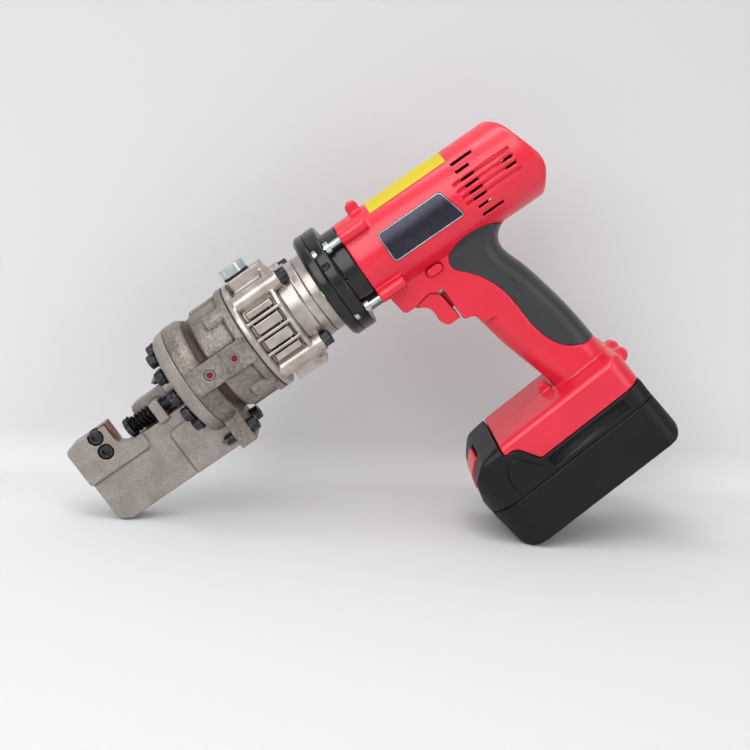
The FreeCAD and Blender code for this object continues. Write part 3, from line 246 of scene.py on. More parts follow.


# %% [markdown]
# The pump housing is an aluminium alloy pressed into a steel die, so its skin is smooth and warm
# silver.  Its corners get painted shade in a dark red, which is what draws the outline of each rib.

# %% Die-cast aluminium


def die_cast_aluminium():
    made, tree, shader, mm = start_finish("die_cast_aluminium", Metallic=0.85)
    cloud = add(tree, "ShaderNodeTexNoise", {"Vector": mm, "Scale": 1 / 9, "Detail": 3}).outputs["Fac"]
    fine = add(tree, "ShaderNodeTexNoise", {"Vector": mm, "Scale": 1 / 1.4, "Detail": 3,
                                            "Roughness": 0.6}).outputs["Fac"]
    base = add(tree, "ShaderNodeValToRGB", {"Fac": cloud}, [(0.3, "A89D96"), (0.7, "C8BEB7")]).outputs["Color"]
    # Painted shade: dark red in the corners, which outlines each rib.
    colour = shade_in_corners(tree, base, linear("3A1A18"), 1.8, 0.3, 0.7, 0.485)
    gloss = add(tree, "ShaderNodeMapRange", {"Value": fine, "To Min": 0.26, "To Max": 0.42}).outputs["Result"]
    tree.links.new(colour, shader.inputs["Base Color"])
    tree.links.new(gloss, shader.inputs["Roughness"])
    relief(tree, shader, fine, 0.14, 0.7)
    return made


# %% [markdown]
# The collar and the gear case are enamelled black, thick enough to level out into a mirror-like skin.
# Enamel isn't a metal, so the colour stays nearly black and the shine comes from a clear coat.

# %% Black enamel


def black_enamel():
    made, tree, shader, mm = start_finish("black_enamel", Roughness=0.3, Coat_Weight=0.35, Coat_Roughness=0.08,
                                          Specular_IOR_Level=0.35)
    dust = add(tree, "ShaderNodeTexNoise", {"Vector": mm, "Scale": 1 / 6, "Detail": 3}).outputs["Fac"]
    wave = add(tree, "ShaderNodeTexNoise", {"Vector": mm, "Scale": 1 / 4, "Detail": 2}).outputs["Fac"]
    colour = add(tree, "ShaderNodeValToRGB", {"Fac": dust},
                 [(0.35, "060607"), (0.75, "0E0F11")]).outputs["Color"]
    tree.links.new(colour, shader.inputs["Base Color"])
    relief(tree, shader, wave, 0.10, 0.5)
    return made


# %% [markdown]
# Metal parts that a machine tool finished differ in colour, shine and the direction of their marks, but
# all of them are plain metal with fine scratches.  One function makes such a finish from its colour and
# its marks, with a soft edge where the CAD solid has a sharp one.

# %% Machined and plated metals


def worked_metal(name, dark, light, low, high, marks=(1.0, 1.0, 1.0), edge_mm=0.35):
    """A metal with scratches stretched along the drawing's axes by marks."""
    made, tree, shader, mm = start_finish(name, Metallic=1.0)
    stretched = add(tree, "ShaderNodeMapping", {"Vector": mm, "Scale": marks}).outputs["Vector"]
    lines = add(tree, "ShaderNodeTexNoise", {"Vector": stretched, "Scale": 1 / 1.6, "Detail": 3,
                                             "Roughness": 0.6}).outputs["Fac"]
    cloud = add(tree, "ShaderNodeTexNoise", {"Vector": mm, "Scale": 1 / 5, "Detail": 2}).outputs["Fac"]
    colour = add(tree, "ShaderNodeValToRGB", {"Fac": cloud}, [(0.3, dark), (0.7, light)]).outputs["Color"]
    gloss = add(tree, "ShaderNodeMapRange", {"Value": lines, "To Min": low, "To Max": high}).outputs["Result"]
    tree.links.new(colour, shader.inputs["Base Color"])
    tree.links.new(gloss, shader.inputs["Roughness"])
    relief(tree, shader, lines, 0.05, 0.5, edge_mm)
    return made


# %% [markdown]
# Moulded plastics share one recipe too: a colour, a gloss and the fine pattern of the mould.  The red
# housing is glossy ABS from a polished mould, so its only pattern is a faint waviness.  The battery is
# ABS from a spark-eroded mould, with grains of about 0.5 mm.  The grip is a soft rubber moulded over the
# handle, duller than the plastics.

# %% Moulded plastics and rubbers


def moulded_plastic(name, dark, light, roughness, texture_mm, depth_mm, coat=0.0, sheen=0.0, shine=0.5):
    made, tree, shader, mm = start_finish(name, Coat_Weight=coat, Coat_Roughness=0.12, Sheen_Weight=sheen,
                                          Sheen_Roughness=0.4, Specular_IOR_Level=shine)
    cloud = add(tree, "ShaderNodeTexNoise", {"Vector": mm, "Scale": 1 / 30, "Detail": 2}).outputs["Fac"]
    texture = add(tree, "ShaderNodeTexNoise", {"Vector": mm, "Scale": 1 / texture_mm, "Detail": 2,
                                               "Roughness": 0.55}).outputs["Fac"]
    colour = add(tree, "ShaderNodeValToRGB", {"Fac": cloud}, [(0.3, dark), (0.7, light)]).outputs["Color"]
    gloss = add(tree, "ShaderNodeMapRange", {"Value": texture, "To Min": roughness - 0.05,
                                             "To Max": roughness + 0.05}).outputs["Result"]
    tree.links.new(colour, shader.inputs["Base Color"])
    tree.links.new(gloss, shader.inputs["Roughness"])
    relief(tree, shader, texture, depth_mm, 0.6)
    return made


# %% [markdown]
# The two blades differ.  The fixed blade keeps the brown film that oil leaves when a hardened tool steel
# is quenched and rubbed off only along its worn edge, so its colour runs in streaks from rust to grey.

# %% Oil-blackened tool steel


def quenched_tool_steel():
    made, tree, shader, mm = start_finish("quenched_tool_steel", Metallic=0.6)
    stretched = add(tree, "ShaderNodeMapping", {"Vector": mm, "Scale": (1.0, 0.3, 0.3)}).outputs["Vector"]
    streak = add(tree, "ShaderNodeTexNoise", {"Vector": stretched, "Scale": 1 / 2.4, "Detail": 4,
                                              "Roughness": 0.65}).outputs["Fac"]
    colour = add(tree, "ShaderNodeValToRGB", {"Fac": streak},
                 [(0.3, "4A2A20"), (0.52, "7A4A3A"), (0.72, "B59A8C")]).outputs["Color"]
    gloss = add(tree, "ShaderNodeMapRange", {"Value": streak, "To Min": 0.35, "To Max": 0.6}).outputs["Result"]
    tree.links.new(colour, shader.inputs["Base Color"])
    tree.links.new(gloss, shader.inputs["Roughness"])
    relief(tree, shader, streak, 0.12, 0.6, 0.3)
    return made


# %% [markdown]
# Each material slot of the record gets one finish, and every CAD part starts with the finish of its slot.

# %% Make the finishes
finishes = {
    "cast_steel": shot_blasted_cast_steel(),
    "cylinder_casting": sand_cast_iron(),
    "pump_casting": die_cast_aluminium(),
    "black_metal": black_enamel(),
    "blade_steel": quenched_tool_steel(),
    "ground_steel": worked_metal("ground_steel", "8E8B86", "B4B1AB", 0.25, 0.42, (0.15, 1.0, 1.0)),
    "black_screws": worked_metal("black_oxide_steel", "343436", "505053", 0.22, 0.42),
    "spring_steel": worked_metal("oil_tempered_spring_wire", "151517", "2A2A2C", 0.25, 0.45),
    "bronze": worked_metal("bearing_bronze", "7A5632", "A87C4B", 0.3, 0.5),
    "zinc_steel": worked_metal("bright_zinc_plate", "AEB8BA", "D5DDDD", 0.16, 0.32),
    "motor_metal": worked_metal("plated_sheet_steel", "5A5C5E", "7E8083", 0.3, 0.5),
    "red_plastic": moulded_plastic("glossy_red_abs", "D81230", "E21A38", 0.32, 2.2, 0.02, coat=0.3),
    "black_plastic": moulded_plastic("spark_eroded_black_abs", "08090B", "0F1012", 0.4, 0.5, 0.05, shine=0.3),
    "grip_rubber": moulded_plastic("soft_grip_rubber", "28292C", "323336", 0.4, 0.6, 0.05, sheen=0.25),
    "seal_rubber": moulded_plastic("nitrile_rubber", "0C0C0C", "161616", 0.55, 0.8, 0.05),
    "gasket_fibre": moulded_plastic("pressed_gasket_fibre", "3A3632", "4C4741", 0.8, 0.7, 0.08),
    "cell_wrap": moulded_plastic("shrink_wrap", "245A8C", "2E6AA0", 0.3, 1.5, 0.03, coat=0.2),
    "plate_print": worked_metal("printed_foil_plate", "3B3A45", "42414C", 0.3, 0.34),
    "label_yellow": moulded_plastic("yellow_vinyl", "CDB808", "D6C20E", 0.5, 2.0, 0.02),
}
for name, item in frame["nodes"].items():
    item.data.materials.clear()
    item.data.materials.append(finishes[node_slot[name]])
print(len(finishes), "finishes on", len(frame["nodes"]), "parts")

# %% [markdown]
# The sealing plugs on the cylinder's sides are set in red sealant.  They stand 20 mm apart along the ram
# axis, so folding that axis every 10 mm gives the distance from the nearer plug, and one finish colours
# both: red in the socket and bare metal around it.

# %% Red-sealed plugs


def plug_in_sealant():
    made, tree, shader, mm = start_finish("plug_in_red_sealant", Metallic=0.4, Roughness=0.25)
    place = add(tree, "ShaderNodeSeparateXYZ", {"Vector": mm}).outputs
    from_plug = add(tree, "ShaderNodeMath", {0: place["X"], 1: 46.0}, operation="ADD").outputs[0]
    folded = add(tree, "ShaderNodeMath", {0: from_plug, 1: 10.0}, operation="PINGPONG").outputs[0]
    flat = add(tree, "ShaderNodeCombineXYZ", {"X": folded, "Y": place["Z"]}).outputs["Vector"]
    radius = add(tree, "ShaderNodeVectorMath", {0: flat}, operation="LENGTH").outputs["Value"]
    bare = within(tree, (radius, 2.2, 2.6))
    colour = add(tree, "ShaderNodeMix", {"Factor": bare, 6: linear("7A1424"), 7: linear("A8A09A")},
                 data_type="RGBA").outputs[2]
    tree.links.new(colour, shader.inputs["Base Color"])
    return made


sealed = plug_in_sealant()
frame["nodes"]["side_plugs"].data.materials[0] = sealed
print("plugs sealed")

# %% [markdown]
# Castings and mouldings have no sharp edges: the sand, the die or the mould rounds them by half a
# millimetre to two.  A voxel remesh of the CAD solid followed by a few passes of smoothing does the same
# to every edge at once, inside corners included, which no bevel does on a mesh of loose triangles.  The
# finer the voxel, the smaller the radius.

# %% Rounded castings and mouldings


def plain_mesh(item):
    """Applies an object's modifiers and leaves one ordinary mesh."""
    graph = bpy.context.evaluated_depsgraph_get()
    made = bpy.data.meshes.new_from_object(item.evaluated_get(graph))
    item.modifiers.clear()
    old = item.data
    item.data = made
    bpy.data.meshes.remove(old)
    return item


def merged_copy(node):
    """A copy of a CAD node with its loose triangles joined at their corners."""
    mesh = bmesh.new()
    mesh.from_mesh(frame["nodes"][node].data)
    bmesh.ops.remove_doubles(mesh, verts=mesh.verts, dist=2e-6)
    data = bpy.data.meshes.new(node + "_rounded")
    mesh.to_mesh(data)
    mesh.free()
    item = bpy.data.objects.new(node + "_rounded", data)
    bpy.context.scene.collection.objects.link(item)
    return item


def rounded(node, voxel_mm, passes, zone=None, zone_passes=0):
    """zone gives how strongly a place of the drawing, in millimetres, is smoothed further: 0 to 1."""
    item = merged_copy(node)
    remesh = item.modifiers.new("Round", "REMESH")
    remesh.mode = "VOXEL"
    remesh.voxel_size = voxel_mm / 1000
    remesh.use_smooth_shade = True
    smooth = item.modifiers.new("Soften", "SMOOTH")
    smooth.factor = 0.5
    smooth.iterations = passes
    plain_mesh(item)
    if zone:
        group = item.vertex_groups.new(name="soft_zone")
        back = drawing.inverted()
        for vertex in item.data.vertices:
            share = zone(back @ vertex.co)
            if share > 0:
                group.add([vertex.index], min(1.0, share), "REPLACE")
        further = item.modifiers.new("Flow", "SMOOTH")
        further.factor = 0.5
        further.iterations = zone_passes
        further.vertex_group = group.name
        plain_mesh(item)
    return item


most_triangles = 160000


def stand_in(item, node, finish=None):
    """The finished item, thinned out where it is flat, takes a CAD node's place, finish and motion."""
    triangles = sum(len(face.vertices) - 2 for face in item.data.polygons)
    if triangles > most_triangles:
        thin = item.modifiers.new("Thin", "DECIMATE")
        thin.ratio = most_triangles / triangles
        plain_mesh(item)
    item.data.materials.clear()
    item.data.materials.append(finish or finishes[node_slot[node]])
    for face in item.data.polygons:
        face.use_smooth = True
    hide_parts(node)
    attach(item, node_body[node])
    print(node, sum(len(face.vertices) - 2 for face in item.data.polygons), "triangles")
    return item


rounding = {
    "cutter_head": (0.6, 3), "cylinder_block": (0.6, 4), "pump_housing": (0.6, 4), "neck_ring": (0.6, 2),
    "collar_ring": (0.6, 2), "gear_case": (0.6, 2), "grip_left": (0.7, 2), "grip_right": (0.7, 2),
    "battery_lower": (0.8, 3), "trigger": (0.5, 3), "release_button": (0.5, 3), "lock_button": (0.4, 2),
}
for node, sizes in rounding.items():
    stand_in(rounded(node, *sizes), node)
stand_in(rounded("moving_blade", 0.4, 2), "moving_blade", finishes["cast_steel"])

# %% [markdown]
# Pressed, sawn and drilled openings keep crisp edges, so they are cut after the rounding.  A Geometry
# Nodes tree puts one box on each point of a small mesh.  The point carries the box's size and turn, so
# one tree makes the cutters for the cooling slots, for their grooves and for the battery's label recess.

# %% A tree that turns points into boxes


def in_use(node):
    """The first output that the node's settings leave in use."""
    return next(out for out in node.outputs if out.enabled)


def new_tree(name, *inputs):
    """A tree with one geometry in and out, and named number or material inputs."""
    tree = bpy.data.node_groups.new(name, "GeometryNodeTree")
    tree.interface.new_socket("Points", in_out="INPUT", socket_type="NodeSocketGeometry")
    for label, kind, value in inputs:
        socket = tree.interface.new_socket(label, in_out="INPUT", socket_type=kind)
        if value is not None:
            socket.default_value = value
    tree.interface.new_socket("Geometry", in_out="OUTPUT", socket_type="NodeSocketGeometry")
    return tree, tree.nodes.new("NodeGroupInput").outputs, tree.nodes.new("NodeGroupOutput")


def on_points(tree, given, sink, instance, rotation, scale=None):
    """Puts the instance on every point, makes it real and gives it the material."""
    sockets = {"Points": given["Points"], "Instance": instance, "Rotation": rotation}
    if scale:
        sockets["Scale"] = scale
    placed = add(tree, "GeometryNodeInstanceOnPoints", sockets).outputs["Instances"]
    real = add(tree, "GeometryNodeRealizeInstances", {"Geometry": placed}).outputs["Geometry"]
    coated = add(tree, "GeometryNodeSetMaterial", {"Geometry": real, "Material": given["Material"]}).outputs[0]
    tree.links.new(coated, sink.inputs["Geometry"])
    return tree


def box_tree():
    tree, given, sink = new_tree("boxes_on_points", ("Material", "NodeSocketMaterial", None))
    cube = add(tree, "GeometryNodeMeshCube", {"Size": (1, 1, 1)}).outputs["Mesh"]
    euler = in_use(add(tree, "GeometryNodeInputNamedAttribute", {"Name": "turn"}, data_type="FLOAT_VECTOR"))
    size = in_use(add(tree, "GeometryNodeInputNamedAttribute", {"Name": "size"}, data_type="FLOAT_VECTOR"))
    turn = add(tree, "FunctionNodeEulerToRotation", {"Euler": euler}).outputs["Rotation"]
    return on_points(tree, given, sink, cube, turn, size)


def grown(name, tree, points, values, **attributes):
    """Runs a tree on points given in metres; attributes are one vector a point, values its inputs."""
    data = bpy.data.meshes.new(name)
    data.from_pydata([tuple(p) for p in points], [], [])
    for label, vectors in attributes.items():
        layer = data.attributes.new(label, "FLOAT_VECTOR", "POINT")
        for slot_of_point, vector in zip(layer.data, vectors):
            slot_of_point.vector = vector
    item = bpy.data.objects.new(name, data)
    bpy.context.scene.collection.objects.link(item)
    maker = item.modifiers.new("Grow", "NODES")
    maker.node_group = tree
    for socket in tree.interface.items_tree:
        if socket.in_out == "INPUT" and socket.name in values:
            maker[socket.identifier] = values[socket.name]
    return plain_mesh(item)


boxes = box_tree()
print("box tree has", len(boxes.nodes), "nodes")

# %% [markdown]
# The housing halves get three more things than a plain rounding.  The crease between the barrel and the
# trigger guard and the edge of the tail cap flow with a larger radius, so those zones are smoothed
# further.  The cooling slots are then cut by a Boolean, the middle ones in long shallow grooves.

# %% The red housing


barrel_radius = 31.5


def housing_flow(p):
    """Soft zones of the housing: the tail cap, and the crease under the front of the barrel."""
    tail = min(1.0, max(0.0, (p.x - 188) / 8))
    along = min(1.0, max(0.0, (p.x - 82) / 4)) * min(1.0, max(0.0, (124 - p.x) / 6))
    crease = along * max(0.0, 1 - abs(p.z + 26.5) / 6) * (0 if abs(p.x - 114.5) < 8 else 1)
    return max(tail, crease)


def slot_cutters(name, slots, half_height, depth, side):
    """Boxes that cut slots (start, end, height) into one flank of the barrel, depth below its skin."""
    middles, sizes = [], []
    for start, end, height in slots:
        skin = math.sqrt(barrel_radius ** 2 - height ** 2)
        inner, outer = skin - depth, skin + 6
        middles.append(drawing @ Vector(((start + end) / 2, side * (inner + outer) / 2, height)))
        sizes.append(Vector((end - start, outer - inner, 2 * half_height)) / 1000)
    turns = [(0, -lean, 0)] * len(slots)
    return grown(name, boxes, middles, {"Material": finishes["red_plastic"]}, size=sizes, turn=turns)


def carve(item, cutter, solver="MANIFOLD"):
    """Cuts the cutter out of the item and removes the cutter; boxes that overlap need the exact solver."""
    tool = item.modifiers.new("Carve", "BOOLEAN")
    tool.operation = "DIFFERENCE"
    tool.solver = solver
    if solver == "EXACT":
        tool.use_self = True
    tool.object = cutter
    plain_mesh(item)
    bpy.data.objects.remove(cutter)
    return item


front_slots = [(161, 177, 21.5), (161, 171, 16.0), (161, 171, 10.2), (161, 171, 5.2), (161, 171, 0.2),
               (161, 171, -4.8), (161, 171, -10.8), (161, 177, -17.0), (189, 197, 5.2), (189, 197, 0.2)]
grooves = [(155, 198, height) for height in (10.2, 5.2, 0.2, -4.8)]
for node, side in (("housing_left", -1), ("housing_right", 1)):
    half = rounded(node, 0.8, 3, housing_flow, 26)
    carve(half, slot_cutters("grooves", grooves, 1.25, 0.7, side))
    carve(half, slot_cutters("slots", front_slots, 0.9, 6.0, side))
    stand_in(half, node)

# %% [markdown]
# The battery's case is moulded in two halves.  The upper one has a shallow label recess on each flank
# between the red skirt and the joint of the halves, with its printed words left out.  Nearer the front
# a fine groove outlines a panel, made of short boxes laid end to end.

# %% The battery's upper case
panel_line = [(-56.2, -33.0), (-56.0, -24.0), (-54.6, -17.0), (-51.0, -11.6), (-46.0, -9.6), (-41.5, -11.0),
              (-37.0, -17.5), (-31.5, -25.4)]
base_turn = lean + math.radians(4.5)
recesses, recess_sizes, recess_turns = [], [], []
for side in (-1, 1):
    recesses.append(base_drawing @ Vector((6, side * 43.0, -27.2)))
    recess_sizes.append(Vector((64, 3.2, 8.4)) / 1000)
    recess_turns.append((0, -base_turn, 0))
    for (u, w), (next_u, next_w) in zip(panel_line, panel_line[1:]):
        recesses.append(base_drawing @ Vector(((u + next_u) / 2, side * 42.4, (w + next_w) / 2)))
        recess_sizes.append(Vector((math.dist((u, w), (next_u, next_w)) + 0.5, 2.8, 1.0)) / 1000)
        recess_turns.append((0, -base_turn - math.atan2(next_w - w, next_u - u), 0))
label_boxes = grown("battery_recesses", boxes, recesses, {"Material": finishes["black_plastic"]},
                    size=recess_sizes, turn=recess_turns)
stand_in(carve(rounded("battery_upper", 0.8, 3), label_boxes, "EXACT"), "battery_upper")

# %% [markdown]
# Socket cap screws hold the castings together, more than twenty in all.  Each has a knurled head with a
# small chamfer and a hexagon socket.  A Geometry Nodes tree makes one from its sizes: a cylinder with one
# ring of points moved to make the chamfer, every other point drawn in for the knurl, and a hexagon cut
# out by a Boolean.  The same tree makes washers and set screws with other sizes.

# %% A tree for socket screws


def screw_tree():
    sizes = {"Head Radius": 0.005, "Head Height": 0.006, "Socket Width": 0.005, "Shank Radius": 0.003,
             "Shank Length": 0.01, "Knurl Depth": 0.0002, "Chamfer": 0.0005, "Washer Height": 0.0}
    numbers = [(label, "NodeSocketFloat", size) for label, size in sizes.items()]
    tree, given, sink = new_tree("socket_screws", *numbers, ("Material", "NodeSocketMaterial", None))
    radius, height = given["Head Radius"], given["Head Height"]
    place = add(tree, "GeometryNodeInputPosition").outputs[0]
    z = add(tree, "ShaderNodeSeparateXYZ", {"Vector": place}).outputs["Z"]

    def lifted(mesh, length, share):
        """The mesh moved up by a share of a length."""
        rise = add(tree, "ShaderNodeMath", {0: length, 1: share}, operation="MULTIPLY").outputs[0]
        up = add(tree, "ShaderNodeCombineXYZ", {"Z": rise}).outputs[0]
        return add(tree, "GeometryNodeTransform", {"Geometry": mesh, "Translation": up}).outputs[0]

    def narrowed(mesh, chosen, length):
        """The chosen points moved towards the axis by a length."""
        share = add(tree, "ShaderNodeMath", {0: length, 1: radius}, operation="DIVIDE").outputs[0]
        less = add(tree, "ShaderNodeMath", {0: share, 1: -1.0}, operation="MULTIPLY").outputs[0]
        pull = add(tree, "ShaderNodeCombineXYZ", {"X": less, "Y": less}).outputs[0]
        offset = add(tree, "ShaderNodeVectorMath", {0: place, 1: pull}, operation="MULTIPLY").outputs["Vector"]
        return add(tree, "GeometryNodeSetPosition",
                   {"Geometry": mesh, "Selection": chosen, "Offset": offset}).outputs[0]

    head = add(tree, "GeometryNodeMeshCylinder", {"Vertices": 48, "Side Segments": 2, "Radius": radius,
                                                  "Depth": height}).outputs["Mesh"]
    index = add(tree, "GeometryNodeInputIndex").outputs[0]
    odd = add(tree, "ShaderNodeMath", {0: index, 1: 2.0}, operation="MODULO").outputs[0]
    knurled = narrowed(head, odd, given["Knurl Depth"])
    middle = add(tree, "ShaderNodeMath", {0: z, 1: 0.0, 2: 0.0001}, operation="COMPARE").outputs[0]
    half = add(tree, "ShaderNodeMath", {0: height, 1: 0.5}, operation="MULTIPLY").outputs[0]
    rise = add(tree, "ShaderNodeMath", {0: half, 1: given["Chamfer"]}, operation="SUBTRACT").outputs[0]
    up = add(tree, "ShaderNodeCombineXYZ", {"Z": rise}).outputs[0]
    raised = add(tree, "GeometryNodeSetPosition", {"Geometry": knurled, "Selection": middle,
                                                   "Offset": up}).outputs[0]
    near_top = add(tree, "ShaderNodeMath", {0: height, 1: 0.49}, operation="MULTIPLY").outputs[0]
    top = add(tree, "ShaderNodeMath", {0: z, 1: near_top}, operation="GREATER_THAN").outputs[0]
    standing = lifted(narrowed(raised, top, given["Chamfer"]), height, 0.5)
    corner = add(tree, "ShaderNodeMath", {0: given["Socket Width"], 1: 1.732}, operation="DIVIDE").outputs[0]
    key = add(tree, "GeometryNodeMeshCylinder", {"Vertices": 6, "Radius": corner,
                                                 "Depth": height}).outputs["Mesh"]
    cut = add(tree, "GeometryNodeMeshBoolean", {"Mesh 1": standing, "Mesh 2": lifted(key, height, 1.02)},
              operation="DIFFERENCE").outputs["Mesh"]
    shank = add(tree, "GeometryNodeMeshCylinder", {"Vertices": 20, "Radius": given["Shank Radius"],
                                                   "Depth": given["Shank Length"]}).outputs["Mesh"]
    rim = add(tree, "ShaderNodeMath", {0: radius, 1: 0.0006}, operation="ADD").outputs[0]
    washer = add(tree, "GeometryNodeMeshCylinder", {"Vertices": 32, "Radius": rim,
                                                    "Depth": given["Washer Height"]}).outputs["Mesh"]
    whole = add(tree, "GeometryNodeJoinGeometry")
    for part in (lifted(washer, given["Washer Height"], -0.5), lifted(shank, given["Shank Length"], -0.5), cut):
        tree.links.new(part, whole.inputs[0])
    aim = in_use(add(tree, "GeometryNodeInputNamedAttribute", {"Name": "aim"}, data_type="FLOAT_VECTOR"))
    turn = add(tree, "FunctionNodeAlignRotationToVector", {"Vector": aim}, axis="Z").outputs[0]
    return on_points(tree, given, sink, whole.outputs[0], turn)


screws = screw_tree()
print("screw tree has", len(screws.nodes), "nodes")

# %% [markdown]
# The screws stand where the CAD screws stand: a ring at the head's flange, two in the foot, two behind
# the fixed blade, four long ones through the pump housing's lugs and four in the black collar.

# %% Screws in place


def screw_set(name, node, places, direction, finish, **sizes):
    """Screws at places of the drawing whose heads point along direction; sizes in millimetres."""
    aim = (drawing.to_3x3() @ Vector(direction)).normalized()
    values = {key.replace("_", " ").title(): size / 1000 for key, size in sizes.items()}
    item = grown(name, screws, [drawing @ Vector(p) for p in places], {**values, "Material": finish},
                 aim=[aim] * len(places))
    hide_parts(node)
    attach(item, node_body[node])
    print(name, len(places), "screws", len(item.data.polygons), "faces")
    return item


def on_circle(x, radius, degrees):
    return [(x, -radius * math.sin(math.radians(a)), radius * math.cos(math.radians(a))) for a in degrees]


oxide = finishes["black_screws"]
ring_angles = [0, 30, -30, 60, -60, 90, -90, 117, -117, 141, -141]
screw_set("ring_screws", "head_screws", on_circle(-73.1, 31, ring_angles), (-1, 0, 0), oxide,
          shank_length=20, washer_height=-1.6)
screw_set("foot_screws", "head_screws", [(-49, y, -47) for y in (-15, 15)], (1, 0, 0), oxide, shank_length=20)
screw_set("jaw_screws", "fixed_blade_screws", [(-141.2, -6.3, z) for z in (6.0, -5.9)], (0, -1, 0), oxide,
          shank_length=6)
screw_set("lug_screws", "pump_screws", [(27, y, z) for y in (-24.6, 24.6) for z in (-25.7, 25.7)], (1, 0, 0),
          oxide, shank_length=50)
collar_seats = [(48.4, y, z) for y, z in ((0, 32.6), (0, -32.6), (32.6, 0), (-32.6, 0))]
screw_set("collar_cap_screws", "collar_screws", collar_seats, (-1, 0, 0), finishes["zinc_steel"],
          head_radius=3.3, head_height=3.96, socket_width=3.2, shank_radius=1.98, shank_length=13)
for name, side in (("set_screws", -1), ("far_set_screws", 1)):
    plug_seats = [(x, side * (skin - 0.8), 0) for x, skin in ((-46, 40.0), (-26, 40.6))]
    screw_set(name, "side_plugs", plug_seats, (0, side, 0), sealed, head_radius=3.5, head_height=0.6,
              socket_width=3.4, shank_radius=2.5, shank_length=5)

# %% [markdown]
# The stopper screw is made with the same tree: a knurled knob, a plain core, and one thin chamfered disc
# for each turn of its thread, 1.5 mm apart.

# %% The stopper screw
stop_y, stop_z, knob_radius, rod_radius = -7.4, -2.0, 6.9, 3.9
screw_set("stopper_knob", "stopper_screw", [(-116.6, stop_y, stop_z)], (-1, 0, 0), oxide,
          head_radius=knob_radius, head_height=4, socket_width=3, knurl_depth=0.3,
          shank_radius=rod_radius - 0.5, shank_length=39.6)
turns = [(-115.5 + 1.5 * n, stop_y, stop_z) for n in range(26)]
screw_set("stopper_thread", "stopper_screw", turns, (-1, 0, 0), oxide, head_radius=rod_radius, head_height=1.0,
          socket_width=1, knurl_depth=0, chamfer=0.4, shank_radius=rod_radius - 0.5, shank_length=0.2)

# %% [markdown]
# Three compression springs shorten as the part that leans on them moves.  Each is drawn as it is at rest,
# as a copy of its CAD part that rides with its body.

# %% Springs


def squeezed(node):
    """A copy of a spring's CAD part, drawn at rest, that takes the part's place with a mesh of its own."""
    spring = stand_in(merged_copy(node), node)
    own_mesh(spring)
    return spring


squeezed("stopper_spring")
squeezed("return_spring")
squeezed("trigger_spring")

# %% [markdown]
# The rating plate is a thin foil on the barrel with a silver border.  The border is a round wire of
# 0.3 mm radius, half sunk into the foil, that follows the plate's outline around the barrel.

# %% The rating plate's border


def border_on_barrel(name, corners, round_mm, radius, wire_mm, finish):
    """A closed wire through rounded corners given as (along, height) on the barrel's near flank."""
    spots = [Vector(c) for c in corners]
    outline = []
    for n, here in enumerate(spots):
        before, after = (spots[n - 1] - here).normalized(), (spots[(n + 1) % len(spots)] - here).normalized()
        start, end = here + before * round_mm, here + after * round_mm
        outline += [start.lerp(here, t).lerp(here.lerp(end, t), t) for t in (0, 0.25, 0.5, 0.75, 1)]
        far = spots[(n + 1) % len(spots)] - after * round_mm
        outline += [end.lerp(far, t / 8) for t in range(1, 8)]
    curve = bpy.data.curves.new(name, "CURVE")
    curve.dimensions = "3D"
    curve.bevel_depth = wire_mm / 1000
    curve.bevel_resolution = 2
    line = curve.splines.new("POLY")
    line.points.add(len(outline) - 1)
    for point, spot in zip(line.points, outline):
        place = drawing @ Vector((spot.x, -math.sqrt(radius ** 2 - spot.y ** 2), spot.y))
        point.co = (*place, 1)
    line.use_cyclic_u = True
    item = bpy.data.objects.new(name, curve)
    bpy.context.scene.collection.objects.link(item)
    graph = bpy.context.evaluated_depsgraph_get()
    mesh = bpy.data.meshes.new_from_object(item.evaluated_get(graph))
    bpy.data.objects.remove(item)
    wire = bpy.data.objects.new(name, mesh)
    bpy.context.scene.collection.objects.link(wire)
    mesh.materials.clear()
    mesh.materials.append(finish)
    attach(wire, "tool")
    print(name, len(mesh.polygons), "faces")
    return wire


plate_edge = [(96.6, 12.0), (144.9, 12.0), (150.7, -9.0), (96.6, -9.0)]
border_on_barrel("plate_border", plate_edge, 2.4, 31.98, 0.3, finishes["zinc_steel"])

# %% [markdown]
# The machine is seen from a little above and to the left of the machine.  The camera is described the
# way a photographer would set it up: where it stands, the direction it looks, how far it is tipped and
# its lens.

# %% Camera
lens = bpy.data.cameras.new("camera")
lens.sensor_width = 36
lens.lens = 57.54
camera = bpy.data.objects.new("camera", lens)
bpy.context.scene.collection.objects.link(camera)
azimuth, elevation, tip = math.radians(-2.80), math.radians(11.69), math.radians(2.82)
forward = Vector((-math.sin(azimuth) * math.cos(elevation), math.cos(azimuth) * math.cos(elevation),
                  -math.sin(elevation)))
level = forward.cross(Vector((0, 0, 1))).normalized()
upright = level.cross(forward)
right = level * math.cos(tip) + upright * math.sin(tip)
up = upright * math.cos(tip) - level * math.sin(tip)
turned = Matrix((right, up, -forward)).transposed().to_4x4()
camera.matrix_world = Matrix.Translation((-0.0379, -0.8135, 0.2759)) @ turned
bpy.context.scene.camera = camera
print("camera at", [round(v, 3) for v in camera.location])
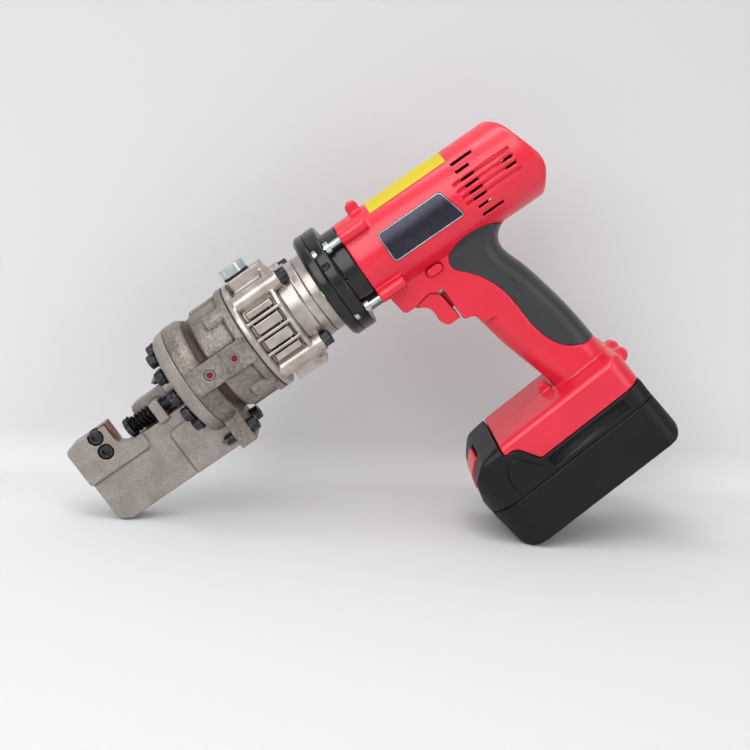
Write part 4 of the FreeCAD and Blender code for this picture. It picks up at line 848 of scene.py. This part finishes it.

# %% [markdown]
# The stage is one sheet of white paper that runs from under the machine up behind it, so there is no
# horizon; painted shade darkens it to pale grey upwards, and its back is clear, so that the machine can be
# seen from behind too.  A large soft light from the upper left does most of the work, a second from the
# right opens the shadows, and a strip above draws the long highlight on the shoulders.

# %% Paper and lights


def paper_sweep():
    profile = [(-1.6, 0.0), (0.09, 0.0)]
    radius, wall = 0.03, 0.12
    for step in range(1, 13):
        turn = math.radians(90 * step / 12)
        profile.append((wall - radius + radius * math.sin(turn), radius * (1 - math.cos(turn))))
    profile.append((wall, 1.8))
    mesh = bmesh.new()
    rows = [[mesh.verts.new((x, y, z - 0.0004)) for x in (-1.6, 1.6)] for y, z in profile]
    for low, high in zip(rows, rows[1:]):
        mesh.faces.new((low[0], low[1], high[1], high[0]))
    data = bpy.data.meshes.new("paper_sweep")
    mesh.to_mesh(data)
    mesh.free()
    for face in data.polygons:
        face.use_smooth = True
    item = bpy.data.objects.new("paper_sweep", data)
    bpy.context.scene.collection.objects.link(item)
    paper = bpy.data.materials.new("white_paper")
    paper.use_nodes = True
    tree = paper.node_tree
    tree.nodes.clear()
    place = add(tree, "ShaderNodeTexCoord").outputs["Object"]
    height = add(tree, "ShaderNodeSeparateXYZ", {"Vector": place}).outputs["Z"]
    # Painted shade: the paper darkens from DEDEDE to C6C6C8 between 8 cm and 45 cm up.
    colour = add(tree, "ShaderNodeMix", {"Factor": within(tree, (height, 0.08, 0.45)), 6: linear("DEDEDE"),
                                         7: linear("C6C6C8")}, data_type="RGBA").outputs[2]
    shader = add(tree, "ShaderNodeBsdfPrincipled", {"Base Color": colour, "Roughness": 0.9})
    behind = add(tree, "ShaderNodeNewGeometry").outputs["Backfacing"]
    unseen = add(tree, "ShaderNodeBsdfTransparent").outputs["BSDF"]
    seen = add(tree, "ShaderNodeMixShader", {0: behind, 1: shader.outputs["BSDF"], 2: unseen}).outputs["Shader"]
    add(tree, "ShaderNodeOutputMaterial", {"Surface": seen})
    data.materials.append(paper)
    return item


def soft_light(name, place, target, width, height, power, colour="FFFFFF"):
    data = bpy.data.lights.new(name, "AREA")
    data.shape = "RECTANGLE"
    data.size, data.size_y = width, height
    data.energy = power
    data.color = linear(colour)[:3]
    item = bpy.data.objects.new(name, data)
    item.location = place
    item.rotation_euler = (Vector(target) - Vector(place)).to_track_quat("-Z", "Y").to_euler()
    bpy.context.scene.collection.objects.link(item)
    return item


paper_sweep()
soft_light("key", (-0.6, -1.15, 0.9), (0, 0, 0.12), 1.1, 1.1, 11)
soft_light("fill", (1.2, -1.3, 0.6), (0, 0, 0.12), 1.0, 1.0, 5.5)
soft_light("top_strip", (-0.25, -0.25, 1.3), (0, 0, 0.1), 1.4, 0.35, 7.5)
world = bpy.data.worlds.new("studio")
world.use_nodes = True
world.node_tree.nodes["Background"].inputs["Color"].default_value = linear("F4F6FA")
world.node_tree.nodes["Background"].inputs["Strength"].default_value = 0.5
bpy.context.scene.world = world
bpy.context.scene.view_settings.view_transform = "Standard"
print("stage set")
